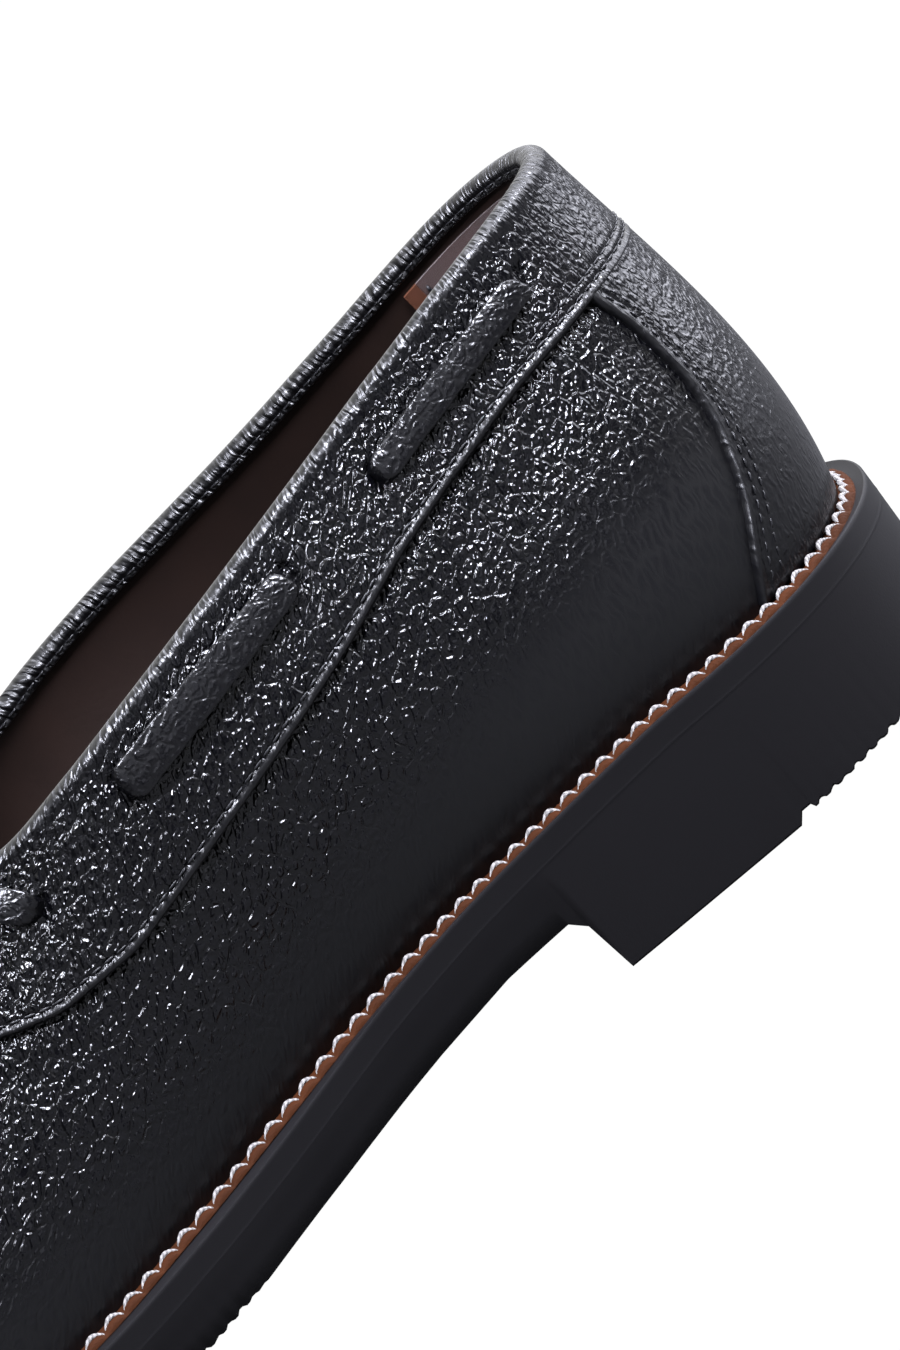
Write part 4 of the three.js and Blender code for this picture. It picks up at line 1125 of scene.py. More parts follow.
@dataclass
class Quarters:
    """The upper's body: quarters and vamp in one skin, with its lining and heel grip."""

    collar_columns: int = 170
    vamp_columns: int = 140
    rows_below: int = 36
    rows_above: int = 16
    skin_depth: float = 1.1
    # Stations of the grip's edge, of the tape's front edge and of the tape's seam.
    grip_edge: float = 25.0
    tape_edge: float = 27.5
    tape_seam: float = 24.0

    def columns(self, last: Last, collar: int, vamp: int) -> Array:
        """Places around the shoe, with the throat's place among them on both sides."""
        throat = last.throat_place
        return np.concatenate([
            np.linspace(0, throat, collar, endpoint=False), np.linspace(throat, 1, vamp, endpoint=False),
            np.linspace(1, 2 - throat, vamp, endpoint=False),
            np.linspace(2 - throat, 2, collar, endpoint=False),
        ])

    def build(self, last: Last, finishes: Finishes) -> None:
        """Builds the outer leather, the lining and the grip.

        Args:
            last: the shoe's shape.
            finishes: the materials.
        """
        around = self.columns(last, self.collar_columns, self.vamp_columns)
        seam = last.seam(around)
        below = 1 - np.linspace(1, 0, self.rows_below) ** 1.3
        above = np.linspace(0, 1, self.rows_above + 1)[1:]
        share = np.concatenate([seam[:, None] * below, seam[:, None] + (1 - seam[:, None]) * above], 1)
        points, normals = last.skin(around[:, None], share)
        run = np.linalg.norm(points - points[:, self.rows_below - 1:self.rows_below], axis=-1)
        under = np.arange(share.shape[1])[None, :] < self.rows_below
        # The leather swells below the seam, sinks at it, and lies under the overlays above it.
        puff = np.where(under, 0.22 * bell(run, 3.2, 2.2) - 0.3 * bell(run, 0, 0.9), -0.2)
        body, tris, first = thick_sheet(points, normals, puff, -self.skin_depth, closed=True)
        hide = both(last.hide(around[:, None], share).reshape(-1, 3)[first])
        pucker = both((0.5 * bell(run, 0, 3) * under).ravel()[first])
        make("quarters_and_vamp", body, tris, finishes.calf, ["upper"], "grain_leather",
             leather_marks(last, body, hide, pucker))
        self.build_lining(last, finishes)

    def build_lining(self, last: Last, finishes: Finishes) -> None:
        """Builds the lining, and the suede grip with its tape and stitches.

        Args:
            last: the shoe's shape.
            finishes: the materials.
        """
        around = self.columns(last, 90, 60)
        points, normals = last.skin(around[:, None], np.linspace(0, 0.995, 34)[None, :])
        body, tris, _ = thick_sheet(points, normals, -self.skin_depth - 0.1, -WALL - 0.1, closed=True)
        make("lining", body, tris, finishes.lining, slot="insole_leather")
        edge, tape, seam = last.around([self.grip_edge, self.tape_edge, self.tape_seam])
        self.inside_patch(last, "heel_grip", (-edge, edge), 0.55, finishes.suede)
        for side in Side:
            word = side.name.lower()
            span = sorted((side.value * edge, side.value * tape))
            self.inside_patch(last, f"grip_tape_{word}", span, 0.7, finishes.tape)
            place, out = last.skin(np.full(60, side.value * seam), np.linspace(0.2, 0.95, 60))
            sew(f"grip_stitches_{word}", place - out * (WALL + 0.62), -out, 2.2, GRIP_STITCH,
                finishes.black_thread)

    def inside_patch(self, last: Last, name: str, span: Sequence[float], thickness: float,
                     material: bpy.types.Material) -> None:
        """Makes a thin patch on the lining between two places around the shoe.

        Args:
            last: the shoe's shape.
            name: the piece's name.
            span: the first and last place.
            thickness: how far it stands off the lining.
            material: its finish.
        """
        around, share = np.linspace(*span, 70)[:, None], np.linspace(*GRIP_HEIGHT, 44)[None, :]
        points, normals = last.skin(around, share)
        body, tris, _ = thick_sheet(points, normals, -WALL - 0.05, -WALL - thickness)
        make(name, body, tris, material)


@dataclass
class Sock:
    """The padded sock inside, with a gently dished top."""

    thickness: float = 2.6

    def build(self, last: Last, finishes: Finishes) -> None:
        """Builds the sock as one outline drawn in towards its middle line, dished across.

        Args:
            last: the shoe's shape.
            finishes: the materials.
        """
        inset = FEATHER_INSET + WALL + 2 * FIT_GAP
        lateral = np.linspace(0, 1, 120)
        at = last.station(lateral)
        low = last.seat(at) + 0.15
        near = last.edge(lateral, np.full(at.shape, inset), low)
        far = last.edge(2 - lateral, np.full(at.shape, inset), low)
        share = np.linspace(0, 1, 40)
        sheet = near[:, None] * (1 - share)[None, :, None] + far[:, None] * share[None, :, None]
        edge = np.minimum(share, 1 - share)
        crown = self.thickness * (1 - np.exp(-edge / 0.02)) - 0.7 * np.sin(np.pi * share) ** 2
        upper = sheet + np.stack([0 * crown, 0 * crown, crown + 0.2], -1)[None]
        faces = grid_faces(len(lateral), len(share))
        points, tris = shell(upper.reshape(-1, 3), sheet.reshape(-1, 3), faces[:, ::-1])
        make("sock", points, tris, finishes.sock, ["insole"], "insole_leather")


def edge_profile(run: Array, thickness: float, radius: float) -> Array:
    """Thickness of an overlay near its cut edge, which is turned over in a quarter round."""
    t = np.clip(run / radius, 0, 1)
    return thickness * np.sqrt(np.clip(1 - (1 - t) ** 2, 0, 1))


def rounded_edge(run: Array, swell: float = 0.1, at: float = 0.65) -> Array:
    """Height of an overlay over the skin: its edge turned over, with a soft swell behind it."""
    return edge_profile(run, OVERLAY, 0.5) + swell * bell(run, at, 0.4) - 0.04


@dataclass(frozen=True)
class LaceRun:
    """One stretch of lace that shows between two slots, with its width at both ends."""

    name: str
    start: tuple[float, float]
    end: tuple[float, float]
    width: float
    front_width: float
    arch: float
    slant: float


LACE_RUNS = (
    LaceRun("rear", (18.6, 82.6), (51.7, 76.1), 4.6, 4.6, 0.5, 0.4),
    LaceRun("front", (69.6, 74.1), (106.1, 67.5), 5.0, 6.2, 0.7, 0.15),
)
BAR_START = (126.0, 61.5)
BAR_AIM = (140.0, 62.0)


@dataclass
class CollarBand:
    """The collar band: an overlay from the long seam to the top, rolled over and stitched down inside."""

    columns: int = 620
    thickness: float = OVERLAY
    row: float = 1.75
    heel_row: float = 3.1
    pitch: float = 2.3
    edge_rows: tuple[float, ...] = (0, 0.05, 0.15, 0.3, 0.5, 0.75, 1.0, 1.25, 1.45, 1.6, 1.75, 1.9, 2.05, 2.3,
                                    2.6, 2.85, 3.1, 3.4)

    def sections(self, last: Last, around: Array, low: Array, edge_mm: float) -> tuple[Array, ...]:
        """Outer and inner points of the section at each place.

        Up the wall from share low, then half round the top edge, then a short way down inside.

        Args:
            last: the shoe's shape.
            around: places around the shoe.
            low: the share at which the lower edge lies.
            edge_mm: distance that the dense rows at the lower edge cover.

        Returns:
            Outer points, inner points, each point's distance from the lower edge, its length past the
            top edge (negative below it) and its place on the flat hide.
        """
        rows = [row for row in self.edge_rows if row <= edge_mm]
        share, points, normals, run = last.overlay(around, low, rows, 28)
        outer = points + normals * rounded_edge(run)[..., None]
        inner = points - normals * OVERLAP
        out = normals[:, -1]
        up = -unit(np.cross(out, last.top_ahead(around)))
        centre = points[:, -1] - out * WALL / 2
        angle = np.radians([12, 25, 38, 51, 64, 77, 90, 103, 116, 129, 142, 153, 161, 167, 172, 177, 180])
        big, small = WALL / 2 + self.thickness * (1 - 0.4 * angle / np.pi), WALL / 2 + 0.1
        past = big * angle
        turned_dip = 0.25 * bell(past, past[-1] - 0.35, 0.28)

        def turned(radius: Array) -> Array:
            """Points half round the edge at a radius."""
            return (centre[:, None] + out[:, None] * (radius * np.cos(angle))[None, :, None]
                    + up[:, None] * (radius * np.sin(angle))[None, :, None])

        drop = np.array([0.15, 0.3, 0.42, 0.53, 0.61, 0.67, HOOK_DEPTH])
        body = edge_profile(HOOK_DEPTH - drop, 1.0, 0.45)
        hooks = []
        for reach in (small + (big[-1] - small) * body, np.full(drop.shape, small - 0.1)):
            hooks.append(centre[:, None] - out[:, None] * (reach + 0.15 * drop)[None, :, None]
                         - up[:, None] * drop[None, :, None])
        outer = np.concatenate([outer, turned(big - turned_dip), hooks[0]], 1)
        inner = np.concatenate([inner, turned(np.full(angle.shape, small)), hooks[1]], 1)
        far = np.concatenate([past, past[-1] + drop])
        beyond = np.concatenate([run - run[:, -1:], np.broadcast_to(far, (len(around), len(far)))], 1)
        full = np.concatenate([share, np.ones((len(around), len(far)))], 1)
        run = np.concatenate([run, run[:, -1:] + far[None, :]], 1)
        return outer, inner, run, beyond, last.hide(around[:, None], full, np.maximum(beyond, 0))

    def build(self, last: Last, finishes: Finishes) -> None:
        """Builds the band with its stitched lower edge, its slots, and the binding round the throat.

        Args:
            last: the shoe's shape.
            finishes: the materials.
        """
        edge = float(last.around(BAND_FRONT))
        around = np.linspace(-edge, edge, self.columns)
        low = last.seam(around)
        outer, inner, run, beyond, hide = self.sections(last, around, low, 3.4)
        _, normals = last.skin(around, low)
        heel = 1 - smooth(19, 24, last.station(around))[:, None]
        dip = 0.2 * (bell(run, self.row, 0.3) + heel * bell(run, self.heel_row, 0.3))
        outer = outer - normals[:, None] * (dip * (run < 6))[..., None]
        for side in Side:
            for lace in LACE_RUNS:
                for end, other in ((lace.start, lace.end), (lace.end, lace.start)):
                    outer = self.slot(last, side, end, other, lace, outer, normals)
            outer = self.slot(last, side, BAR_START, BAR_AIM, LACE_RUNS[0], outer, normals)
        body, tris = shell(outer.reshape(-1, 3), inner.reshape(-1, 3), grid_faces(*outer.shape[:2]))
        marks = self.marks(last, body, run, beyond, hide)
        make("collar_band_leather", body, tris, finishes.calf, ["collar_band"], "grain_leather", marks)
        self.build_stitches(last, finishes, around)
        self.build_binding(last, finishes, edge)

    def marks(self, last: Last, body: Array, run: Array, beyond: Array, hide: Array) -> dict[str, Array]:
        """What the finish reads on a rolled overlay: the lip and the roll are smooth and wrinkled.

        Args:
            last: the shoe's shape.
            body: the points of both sheets.
            run: distances from the lower edge.
            beyond: lengths past the top edge.
            hide: places on the flat hide.

        Returns:
            The marks of both sheets.
        """
        roll = both(smooth(-1.5, 1.8, beyond).ravel())
        lip = both(1 - smooth(0.9, 1.7, run).ravel())
        marks = leather_marks(last, body, both(hide.reshape(-1, 3)), 0.75 * roll + 0.3 * lip)
        marks["grain"] = marks["grain"] * (1 - 0.85 * roll) * (1 - 0.75 * lip)
        return marks

    def slot(self, last: Last, side: Side, end: Sequence[float], other: Sequence[float], lace: LaceRun,
             outer: Array, normals: Array) -> Array:
        """Presses a slot into the band where the lace goes through.

        Args:
            last: the shoe's shape.
            side: the side of the shoe.
            end: the slot's length along the shoe and height.
            other: the same at the far end of the run, for the direction.
            lace: the run, for its widths.
            outer: the band's outer points.
            normals: outward directions of the columns.

        Returns:
            The points, pressed in by a dip 1 mm deep, 1.8 mm wide and as long as the lace is wide.
        """
        place, out = (v[0] for v in last.skin(*last.side_place(side, *end)))
        far = last.skin(*last.side_place(side, *other))[0][0]
        along = unit(far - place)
        along = unit(along - out * (along @ out))
        across = np.cross(out, along)
        half = (lace.width if end == lace.start else lace.front_width) / 2
        offset = outer - (place - along * 0.1)
        du, dv, dn = offset @ along, offset @ across, offset @ out
        dip = np.exp(-((du - lace.slant * dv * side.value) / 0.85) ** 4)
        dip = dip * (1 - smooth(half - 0.4, half + 0.2, np.abs(dv))) * (np.abs(dn) < 5)
        return outer - normals[:, None] * dip[..., None]

    def build_stitches(self, last: Last, finishes: Finishes, around: Array) -> None:
        """Builds the stitches of the lower edge and of the rolled edge inside.

        Args:
            last: the shoe's shape.
            finishes: the materials.
            around: places along the band.
        """
        low = last.seam(around)
        speed = last.speed(around, low)
        whole, heel = np.full(around.shape, True), last.station(around) < 21
        for name, distance, keep in (("seam", self.row, whole), ("heel_seam", self.heel_row, heel)):
            place, out = last.skin(around[keep], low[keep] + distance / speed[keep])
            sew(f"band_stitches_{name}", place + out * (self.thickness - 0.13), out, self.pitch,
                SEAM_STITCH, finishes.black_thread)
        top, out = last.skin(around, np.ones(len(around)))
        line = top - out * (WALL + self.thickness * 0.6 - 0.14)
        line = line - unit(np.cross(out, last.top_ahead(around))) * 0.3
        sew("roll_stitches", line, -out, self.pitch, ROLL_STITCH, finishes.black_thread)

    def build_binding(self, last: Last, finishes: Finishes, edge: float) -> None:
        """Builds the binding that carries the rolled edge on round the throat.

        Args:
            last: the shoe's shape.
            finishes: the materials.
            edge: the place around the shoe where the band ends.
        """
        left = np.linspace(edge, last.throat_place, 90)
        low = 1 - 5.0 / last.speed(left, np.ones(90), -0.02)
        parts = []
        for around, shares in ((left, low), ((2 - left)[::-1], low[::-1])):
            parts.append(self.sections(last, around, shares, 0.8))
        outer, inner, run, beyond, hide = (np.concatenate([a, b[1:]]) for a, b in zip(*parts))
        outer = outer + unit(outer - inner) * 0.25
        body, tris = shell(outer.reshape(-1, 3), inner.reshape(-1, 3), grid_faces(*outer.shape[:2]))
        make("throat_binding", body, tris, finishes.calf, slot="grain_leather",
             marks=self.marks(last, body, run, beyond, hide))


@dataclass
class Apron:
    """The apron: the overlay on the vamp's top, inside the long seam."""

    thickness: float = OVERLAY
    columns: int = 170
    rows: int = 44
    row: float = 1.75

    def build(self, last: Last, finishes: Finishes) -> None:
        """Builds the apron on both sides of the ridge, with its stitched edge.

        Args:
            last: the shoe's shape.
            finishes: the materials.
        """
        edge = float(last.around(BAND_FRONT)) - 0.001
        throat = last.throat_place
        lateral = np.concatenate([np.linspace(edge, throat, 50, endpoint=False),
                                  np.linspace(throat, 1, self.columns)])
        around = np.concatenate([lateral, 2 - lateral[-2::-1]])
        low = last.seam(around)
        _, points, normals, run = last.overlay(around, low, CollarBand.edge_rows, self.rows)
        high = rounded_edge(run) - 0.2 * bell(run, self.row, 0.3)
        body, tris, first = thick_sheet(points, normals, high, -OVERLAP)
        flat = points.reshape(-1, 3)[first]
        hide = both(np.stack([flat[:, 0], flat[:, 1] * 1.15, 0 * flat[:, 0]], -1))
        lip = both(1 - smooth(0.9, 1.7, run).ravel()[first])
        marks = leather_marks(last, body, hide, 0.3 * lip)
        marks["grain"] = marks["grain"] * (1 - 0.75 * lip)
        make("apron_leather", body, tris, finishes.calf, ["apron"], "grain_leather", marks)
        place, out = last.skin(around, low + self.row / last.speed(around, low))
        sew("apron_stitches", place + out * (self.thickness - 0.13), out, CollarBand.pitch, SEAM_STITCH,
            finishes.black_thread)


@dataclass
class HeelCounter:
    """The heel counter: the overlay round the back, under the band, with a double-stitched edge."""

    thickness: float = OVERLAY
    stitch_rows: tuple[float, float] = (1.9, 3.5)
    edge_rows: tuple[float, ...] = (0, 0.05, 0.15, 0.3, 0.5, 0.8, 1.15, 1.45, 1.7, 1.9, 2.1, 2.4, 2.8,
                                    3.2, 3.5, 3.8, 4.2, 4.8)
    mean_length: float = 27.0

    def build(self, last: Last, finishes: Finishes) -> None:
        """Builds the counter from its front edges in to the back, and its two rows of stitches.

        Args:
            last: the shoe's shape.
            finishes: the materials.
        """
        level = np.linspace(0.03, 1.02, 60)
        front = last.around(last.counter_at(np.minimum(level, 1)))
        near = np.array(self.edge_rows) / self.mean_length
        half = np.concatenate([near, np.linspace(near[-1], 1, 40)[1:]])
        width = np.concatenate([half, 2 - half[-2::-1]])
        around = front[None, :] * (width[:, None] - 1)
        seam = last.seam(around.ravel()).reshape(around.shape)
        share = np.clip(seam * level[None, :], 0, 1)
        points, normals = last.skin(around, share)
        run = lengths(points)
        run = np.minimum(run, run[-1:] - run)
        high = rounded_edge(run, 0.08, 0.6) - 0.13 * sum(bell(run, at, 0.28) for at in self.stitch_rows)
        outer = (points + normals * high[..., None]).reshape(-1, 3)
        inner = (points - normals * OVERLAP).reshape(-1, 3)
        body, tris = shell(outer, inner, grid_faces(*around.shape))
        lip = both(1 - smooth(0.8, 1.5, run).ravel())
        marks = leather_marks(last, body, both(last.hide(around, share).reshape(-1, 3)), 0.25 * lip)
        marks["grain"] = np.maximum(marks["grain"], 0.35) * (1 - 0.75 * lip)
        make("heel_counter_leather", body, tris, finishes.calf, ["heel_counter"], "grain_leather", marks)
        for side in Side:
            parts = []
            for distance in self.stitch_rows:
                line = side.value * front * (1 - distance / self.mean_length)
                place, out = last.skin(line[2:-2], (last.seam(line) * level)[2:-2])
                row = resample(place + out * (self.thickness - 0.1), out, 2.0)
                parts.append(threads(*row, *COUNTER_STITCH))
            (first, faces), (second, more) = parts
            make(f"counter_stitches_{side.name.lower()}", np.concatenate([first, second]),
                 np.concatenate([faces, more + len(first)]), finishes.black_thread)


@dataclass
class Lacing:
    """The flat lace: on each side two runs along the collar and a bar to the knot."""

    thickness: float = 1.2
    steps: int = 90

    def strip(self, node: str, points: Array, normals: Array, width: Array, finishes: Finishes,
              seed: int, slant: float = 0.0, dives: tuple[float, float] = (0.0, 0.0)) -> None:
        """Carries a flat section along a line, turns its ends down and closes them.

        The section is a rectangle with round corners and a low crown; a ridge runs along it near its
        upper edge, and its corners go down first, so that the ends look rounded.

        Args:
            node: the CAD node that it stands for, whose name the piece takes.
            points: the line of the lace's underside.
            normals: the way out of the leather along it.
            width: the lace's width along the line.
            finishes: the materials.
            seed: which creases the lace has.
            slant: how far the first end leans along the lace, for each millimetre across.
            dives: how deep the two ends go down.
        """
        noise = np.random.default_rng(seed)
        ahead = unit(np.gradient(points, axis=0))
        across_dir = unit(np.cross(normals, ahead))
        out = unit(np.cross(ahead, across_dir))
        upward = 1.0 if across_dir[len(points) // 2, 2] > 0 else -1.0
        turn = np.linspace(0, 2 * np.pi, 34, endpoint=False)
        wide = np.sign(np.cos(turn)) * np.abs(np.cos(turn)) ** 0.35
        up = np.sign(np.sin(turn)) * np.abs(np.sin(turn)) ** 0.38 * self.thickness / 2 + self.thickness / 2
        above = np.sin(turn) > 0
        t = np.linspace(0, 1, len(points))[:, None]
        wave = sum(noise.uniform(0.3, 1) * np.sin(2 * np.pi * (k * t + noise.uniform()))
                   for k in (2, 3, 5)) / 3
        place = wide[None, :] * upward
        ridge = 0.12 * bell(place, 0.42 + 0.06 * wave, 0.14)
        crease = 0.2 * bell(place, 0.12 + 0.1 * wave, 0.1)
        lift = up[None, :] + (0.05 * (1 - wide ** 2)[None, :] + ridge - crease) * above[None, :]
        span = lengths(points)[:, None]
        corner = 1.5 * np.abs(wide[None, :]) ** 4
        for depth, gone in zip(dives, (span, span[-1] - span)):
            lift = lift - depth * bell(np.maximum(gone - corner, 0), 0, 0.8)
        half = np.broadcast_to(width, (len(points),))[:, None] / 2 * (1 + 0.03 * wave)
        across = wide[None, :] * half
        lean = slant * (across * upward + half) * np.exp(-span / 5)
        rings = (points[:, None] + across_dir[:, None] * across[..., None] + out[:, None] * lift[..., None]
                 + ahead[:, None] * lean[..., None])
        ends = [ring.mean(0, keepdims=True).repeat(len(turn), 0)[None] for ring in (rings[0], rings[-1])]
        rings = np.concatenate([ends[0], rings, ends[1]])
        numbers = np.arange(rings[..., 0].size).reshape(rings.shape[:2])
        span = np.concatenate([span[:1], span, span[-1:]])
        girth = wide[None, :] * np.mean(width) / 2 + np.where(above, 0, 9.0)[None, :]
        flat = np.stack(np.broadcast_arrays(span, girth * 1.2, 0.0), -1).reshape(-1, 3)
        make(f"{node}_leather", rings.reshape(-1, 3), tube(numbers), finishes.lace, [node], "lace_leather",
             {"hide": flat, "grain": 0.8, "coarse": 0.4, "pucker": 0.1})

    def build(self, last: Last, finishes: Finishes) -> None:
        """Builds the runs and the bars.

        Args:
            last: the shoe's shape.
            finishes: the materials.
        """
        t = np.linspace(0, 1, self.steps)
        for side in Side:
            word = side.name.lower()
            for number, run in enumerate(LACE_RUNS):
                start, end = last.side_place(side, *run.start), last.side_place(side, *run.end)
                reach = t * 1.04 - 0.02
                points, normals = last.skin(start[0] + (end[0] - start[0]) * reach,
                                            start[1] + (end[1] - start[1]) * reach)
                lift = OVERLAY - 0.05 + run.arch * np.sin(np.pi * t)
                self.strip(f"lace_{run.name}_{word}", points + normals * lift[:, None], normals,
                           run.width + (run.front_width - run.width) * t, finishes, 7 + number, run.slant,
                           (2.5, 2.5))
            self.build_bar(last, side, finishes)

    def build_bar(self, last: Last, side: Side, finishes: Finishes) -> None:
        """Builds the bar from the front slot over the vamp to the knot.

        Args:
            last: the shoe's shape.
            side: the side of the shoe.
            finishes: the materials.
        """
        word = side.name.lower()
        first = last.wall(*last.side_place(side, *BAR_START))[0]
        start = abs(first[1] - float(last.top_middle(BAR_START[0])))
        shares = np.linspace(0, 1, 26)
        around, share = last.vamp_place(side, BAR_START[0] + (KNOT_ALONG - BAR_START[0]) * shares,
                                        start + (6.0 - start) * shares)
        fine = np.linspace(0, 1, self.steps)
        points, normals = last.skin(np.interp(fine, shares, around), np.interp(fine, shares, share))

        def even(values: Array, **ends: str) -> Array:
            """The running mean over nine points."""
            padded = np.pad(values, ((4, 4), (0, 0)), **ends)
            return np.stack([np.convolve(padded[:, i], np.ones(9) / 9, "valid") for i in range(3)], -1)

        normals = unit(even(normals, mode="edge"))
        points = even(points, mode="reflect", reflect_type="odd")
        lift = OVERLAY + 0.25 + 1.1 * np.sin(np.pi * fine)
        self.strip(f"lace_bar_{word}", points + normals * lift[:, None], normals, 5.0, finishes, 11,
                   dives=(2.6, 0.0))


@dataclass
class KnotAndTassels:
    """The knot on the vamp and, on each side, a lace end with its tassel."""

    cap: float = 9.0
    skirt: float = 25.0
    skirt_radius: float = 6.2
    strips: int = 20
    flatness: float = 0.7
    tip: tuple[float, float] = (222.0, 19.0)
    knot_size: tuple[float, float, float] = (8.0, 7.0, 3.6)
    knot_sides: int = 40
    turn_height: float = 0.9
    # The cap and the core behind it: places along the tassel and radii there.
    along: tuple[float, ...] = (0, 0, 0.3, 1.0, 1.8, 2.6, 3.4, 4.0, 5.2, 6.2, 7.0, 7.8, 8.6, 9.2, 9.8, 12,
                                20, 30, 31.5, 31.5)
    radius: tuple[float, ...] = (0, 1.8, 3.0, 3.9, 4.2, 4.25, 4.1, 3.85, 3.9, 3.95, 4.2, 4.3, 4.1, 3.7,
                                 3.6, 4.4, 4.7, 4.6, 4.2, 0)

    def build(self, last: Last, finishes: Finishes) -> None:
        """Builds the knot, the ends and the tassels.

        Args:
            last: the shoe's shape.
            finishes: the materials.
        """
        point, ahead, out = last.ridge(KNOT_ALONG)
        across = np.cross(out, ahead)
        rest = 2 * FIT_GAP + SOLID_OVERLAY
        centre = point + out * (rest + self.knot_size[2] + self.turn_height)
        knot = self.knot() @ np.stack([ahead, across, out]) + centre
        numbers = np.arange(len(knot)).reshape(-1, self.knot_sides)
        ring, turn = np.divmod(np.arange(len(knot)), self.knot_sides)
        make("lace_knot_leather", knot, tube(numbers), finishes.lace, ["lace_knot"], "lace_leather",
             {"hide": np.stack([ring * 0.4, np.abs(turn - self.knot_sides // 2) * 0.9, 0 * turn], -1),
              "grain": 0.7, "coarse": 0.3, "pucker": 0.1})
        for side in Side:
            self.build_side(last, side, centre, finishes)

    def knot(self) -> Array:
        """The knot: a flattened ball with a broad turn of lace over its middle.

        Returns:
            Rings of points from the front pole to the back one; the turn stands proud over the
            middle 5 mm, and shallow furrows run where the laces cross.
        """
        u = np.linspace(0, np.pi, 46)[:, None]
        v = np.linspace(0, 2 * np.pi, self.knot_sides, endpoint=False)[None, :]
        x, y, z = -np.cos(u) + 0 * v, np.sin(u) * np.cos(v), np.sin(u) * np.sin(v)
        long, wide, thick = self.knot_size
        furrow = 1 - 0.07 * bell(np.abs(y), 0.55 + 0.3 * x, 0.1)
        turn = self.turn_height * (1 - smooth(2.2, 2.8, np.abs(wide * y)))
        grow = np.stack([long * furrow + turn, wide * furrow, thick * furrow + turn], -1)
        return (np.stack([x, y, z], -1) * grow).reshape(-1, 3)

    def build_side(self, last: Last, side: Side, centre: Array, finishes: Finishes) -> None:
        """Builds one lace end and its tassel, hanging from the knot over the vamp.

        Args:
            last: the shoe's shape.
            side: the side of the shoe.
            centre: the knot's middle.
            finishes: the materials.
        """
        word = side.name.lower()
        place, normal = last.skin(*last.vamp_place(side, *self.tip))
        lift = 2 * FIT_GAP + SOLID_OVERLAY + self.skirt_radius * self.flatness + 0.8
        ahead = unit(place[0] + normal[0] * lift - centre)
        across = unit(np.cross(normal[0], ahead))
        out = np.cross(ahead, across)
        start = centre + ahead * (self.knot_size[0] + 1.3)
        t = np.linspace(0, 1, 30)[:, None]
        line = start - ahead * 4 + ahead * (t * 17.5) - out * 0.65
        Lacing().strip(f"lace_end_{word}", line, np.broadcast_to(out, line.shape), 4.0, finishes, 5)
        hang = start + ahead * 12.3
        axes = np.stack([ahead, across, out * self.flatness])
        local, tris = self.tassel(23 if side is Side.LATERAL else 31)
        girth = np.arctan2(local[:, 2], local[:, 1]) * self.skirt_radius
        make(f"tassel_{word}_leather", local @ axes + hang, tris, finishes.lace, [f"tassel_{word}"],
             "lace_leather", {"hide": np.stack([local[:, 0], girth, 0 * girth], -1), "grain": 0.5,
                              "coarse": 0.2, "pucker": 0.05})

    def tassel(self, seed: int) -> tuple[Array, Array]:
        """A tassel along +X: a rolled cap with two bound rings, a core, and cut strips round it.

        Args:
            seed: how the strips are ruffled.

        Returns:
            Points and triangles of the cap, the core and the strips.
        """
        noise = np.random.default_rng(seed)
        x, radius = np.array(self.along)[:, None], np.array(self.radius)[:, None]
        turn = np.linspace(0, 2 * np.pi, 28, endpoint=False)
        rings = np.stack([x + 0 * turn, radius * np.cos(turn), radius * np.sin(turn)], -1)
        faces = [tube(np.arange(rings[..., 0].size).reshape(rings.shape[:2]))]
        points = [rings.reshape(-1, 3)]
        start = len(points[0])
        along = np.linspace(0, 1, 14)
        loop = np.array([(-0.85, -0.5), (0.85, -0.5), (0.9, 0.35), (0.0, 0.5), (-0.9, 0.35)])
        for strip in range(self.strips):
            angle = strip * 2 * np.pi / self.strips + noise.uniform(-0.07, 0.07)
            reach = self.skirt + noise.uniform(-0.6, 0.9)
            flare = self.skirt_radius * (0.66 + 0.3 * along ** 0.8) + noise.uniform(-0.25, 0.25) * along
            sway = angle + noise.uniform(-0.12, 0.12) * along ** 2
            radial = np.stack([0 * along, np.cos(sway), np.sin(sway)], -1)
            sideways = np.stack([0 * along, -np.sin(sway), np.cos(sway)], -1)
            line = np.stack([self.cap - 0.4 + reach * along, 0 * along, 0 * along], -1)
            line = line + radial * flare[:, None]
            ring = (line[:, None] + sideways[:, None] * loop[None, :, :1]
                    + radial[:, None] * loop[None, :, 1:])
            ring = np.concatenate([np.repeat(line[:1, None], 5, 1), ring, np.repeat(line[-1:, None], 5, 1)])
            numbers = np.arange(ring[..., 0].size).reshape(ring.shape[:2])
            faces.append(tube(numbers) + start)
            points.append(ring.reshape(-1, 3))
            start += len(points[-1])
        return np.concatenate(points), np.concatenate(faces)


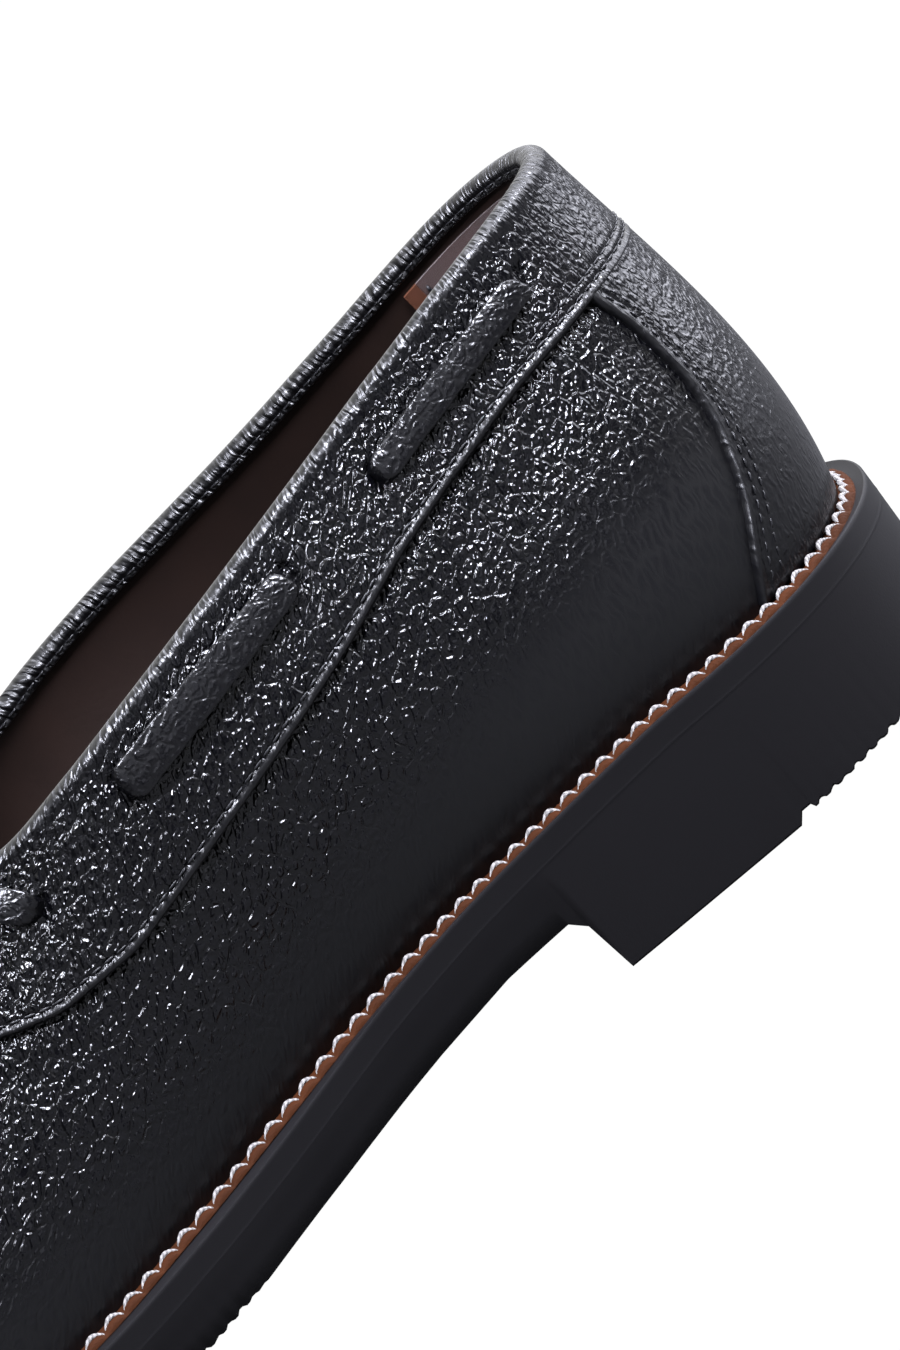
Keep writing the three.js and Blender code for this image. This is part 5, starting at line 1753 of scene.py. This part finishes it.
@dataclass
class Studio:
    """The camera at the photograph's angle, the pale floor and the soft lights."""

    elevation: float = 13.0
    swing: float = 4.0
    distance: float = 1300.0
    focal_pixels: float = 9230.0
    anchor: tuple[float, float, float] = (-80.5, 33.5, 0.0)
    anchor_shift: tuple[float, float] = (54.8, 340.2)
    roll: tuple[float, float] = (0.752, 0.659)

    def build(self) -> None:
        """Builds the camera, the floor and the lights."""
        e, a = math.radians(self.elevation), math.radians(self.swing)
        back = np.array([-math.sin(a) * math.cos(e), math.cos(a) * math.cos(e), math.sin(e)])
        right = np.array([-math.cos(a), -math.sin(a), 0.0])
        up = np.cross(back, right)
        shift = [v / self.focal_pixels * self.distance for v in self.anchor_shift]
        spot = np.array(self.anchor) + back * self.distance + right * shift[0] + up * shift[1]
        cos, sin = np.array(self.roll) / np.hypot(*self.roll)
        rolled = np.stack([right * cos - up * sin, right * sin + up * cos, back], 1)
        data = bpy.data.cameras.new("camera")
        data.sensor_width = 36.0
        data.lens = 36.0 * self.focal_pixels / 1350.0
        data.clip_start, data.clip_end = 0.05, 50.0
        bpy.context.scene.camera = put("camera", data, rolled, (spot * MM).tolist())
        self.build_floor()
        self.build_lights()

    def build_floor(self) -> None:
        """Builds a large plain pale floor, a matt painted board."""
        material, tree = new_material("white painted board, matt, lit from behind")
        paint = add(tree, "BsdfPrincipled", {
            "Base Color": srgb("#484848"), "Roughness": 0.9, "Specular IOR Level": 0.1,
        })
        glow = add(tree, "Emission", {"Color": srgb("#ffffff"), "Strength": 1.1})
        seen = add(tree, "LightPath")
        share = add(tree, "Math", {0: seen.outputs["Is Camera Ray"], 1: 0.92}, operation="MULTIPLY")
        shader = add(tree, "MixShader", {0: share, 1: paint, 2: glow})
        add(tree, "OutputMaterial", {"Surface": shader})
        mesh = bpy.data.meshes.new("floor")
        size = 6.0
        corners = [(-size, -size, 0), (size, -size, 0), (size, size, 0), (-size, size, 0)]
        mesh.from_pydata(corners, [], [(0, 1, 2, 3)])
        mesh.materials.append(material)
        put("floor", mesh)

    def build_lights(self) -> None:
        """Builds the soft boxes and the pale room round them."""
        for name, place, aim, size, power in (
            ("key", (-0.52, 0.35, 0.8), (0.0, 0.0, 0.05), (0.34, 0.34), 34.0),
            ("second", (0.34, 0.5, 0.9), (0.05, 0.0, 0.05), (0.26, 0.26), 20.0),
            ("back", (-0.6, -0.55, 0.9), (-0.1, 0.0, 0.05), (0.9, 0.6), 16.0),
            ("rear", (-1.0, -0.4, 0.3), (-0.15, 0.0, 0.05), (0.9, 0.6), 12.0),
            ("front", (0.1, 2.2, 0.85), (0.0, 0.0, 0.05), (2.2, 0.9), 5.0),
        ):
            data = bpy.data.lights.new(name, "AREA")
            data.shape = "RECTANGLE"
            data.size, data.size_y = size
            data.energy = power
            data.color = srgb("#eef0ff")[:3]
            back = unit(np.array(place) - np.array(aim))
            right = unit(np.cross([0, 0, 1.0], back))
            put(name, data, np.stack([right, np.cross(back, right), back], 1), place)
        world = bpy.data.worlds.new("pale room")
        bpy.context.scene.world = world
        world.use_nodes = True
        tree = world.node_tree
        tree.nodes.clear()
        place = add(tree, "TexCoord")
        turn = add(tree, "VectorMath", {0: place.outputs["Generated"], 1: (-0.35, -0.75, 0.55)},
                   operation="DOT_PRODUCT")
        bright = add(tree, "MapRange", {"Value": turn.outputs["Value"], "From Min": -0.2, "From Max": 0.9,
                                        "To Min": 0.05, "To Max": 1.5}, interpolation_type="SMOOTHSTEP")
        seen = add(tree, "LightPath")
        strength = add(tree, "Mix", {"Factor": seen.outputs["Is Camera Ray"], "A": bright, "B": 1.0})
        shader = add(tree, "Background", {"Color": srgb("#ffffff"), "Strength": strength})
        add(tree, "OutputWorld", {"Surface": shader})
        bpy.context.scene.view_settings.view_transform = "Standard"


def main() -> None:
    """Builds the shoe and the studio."""
    logging.basicConfig(level=logging.INFO, format="%(name)s: %(message)s")
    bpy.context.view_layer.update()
    last, finishes = Last(), Finishes.build()
    Studio().build()
    for part in (Outsole(), Welt(), Quarters(), Sock(), CollarBand(), Apron(), HeelCounter(), Lacing(),
                 KnotAndTassels()):
        part.build(last, finishes)
        LOG.info("%s done", type(part).__name__)


if __name__ == "__main__":
    main()
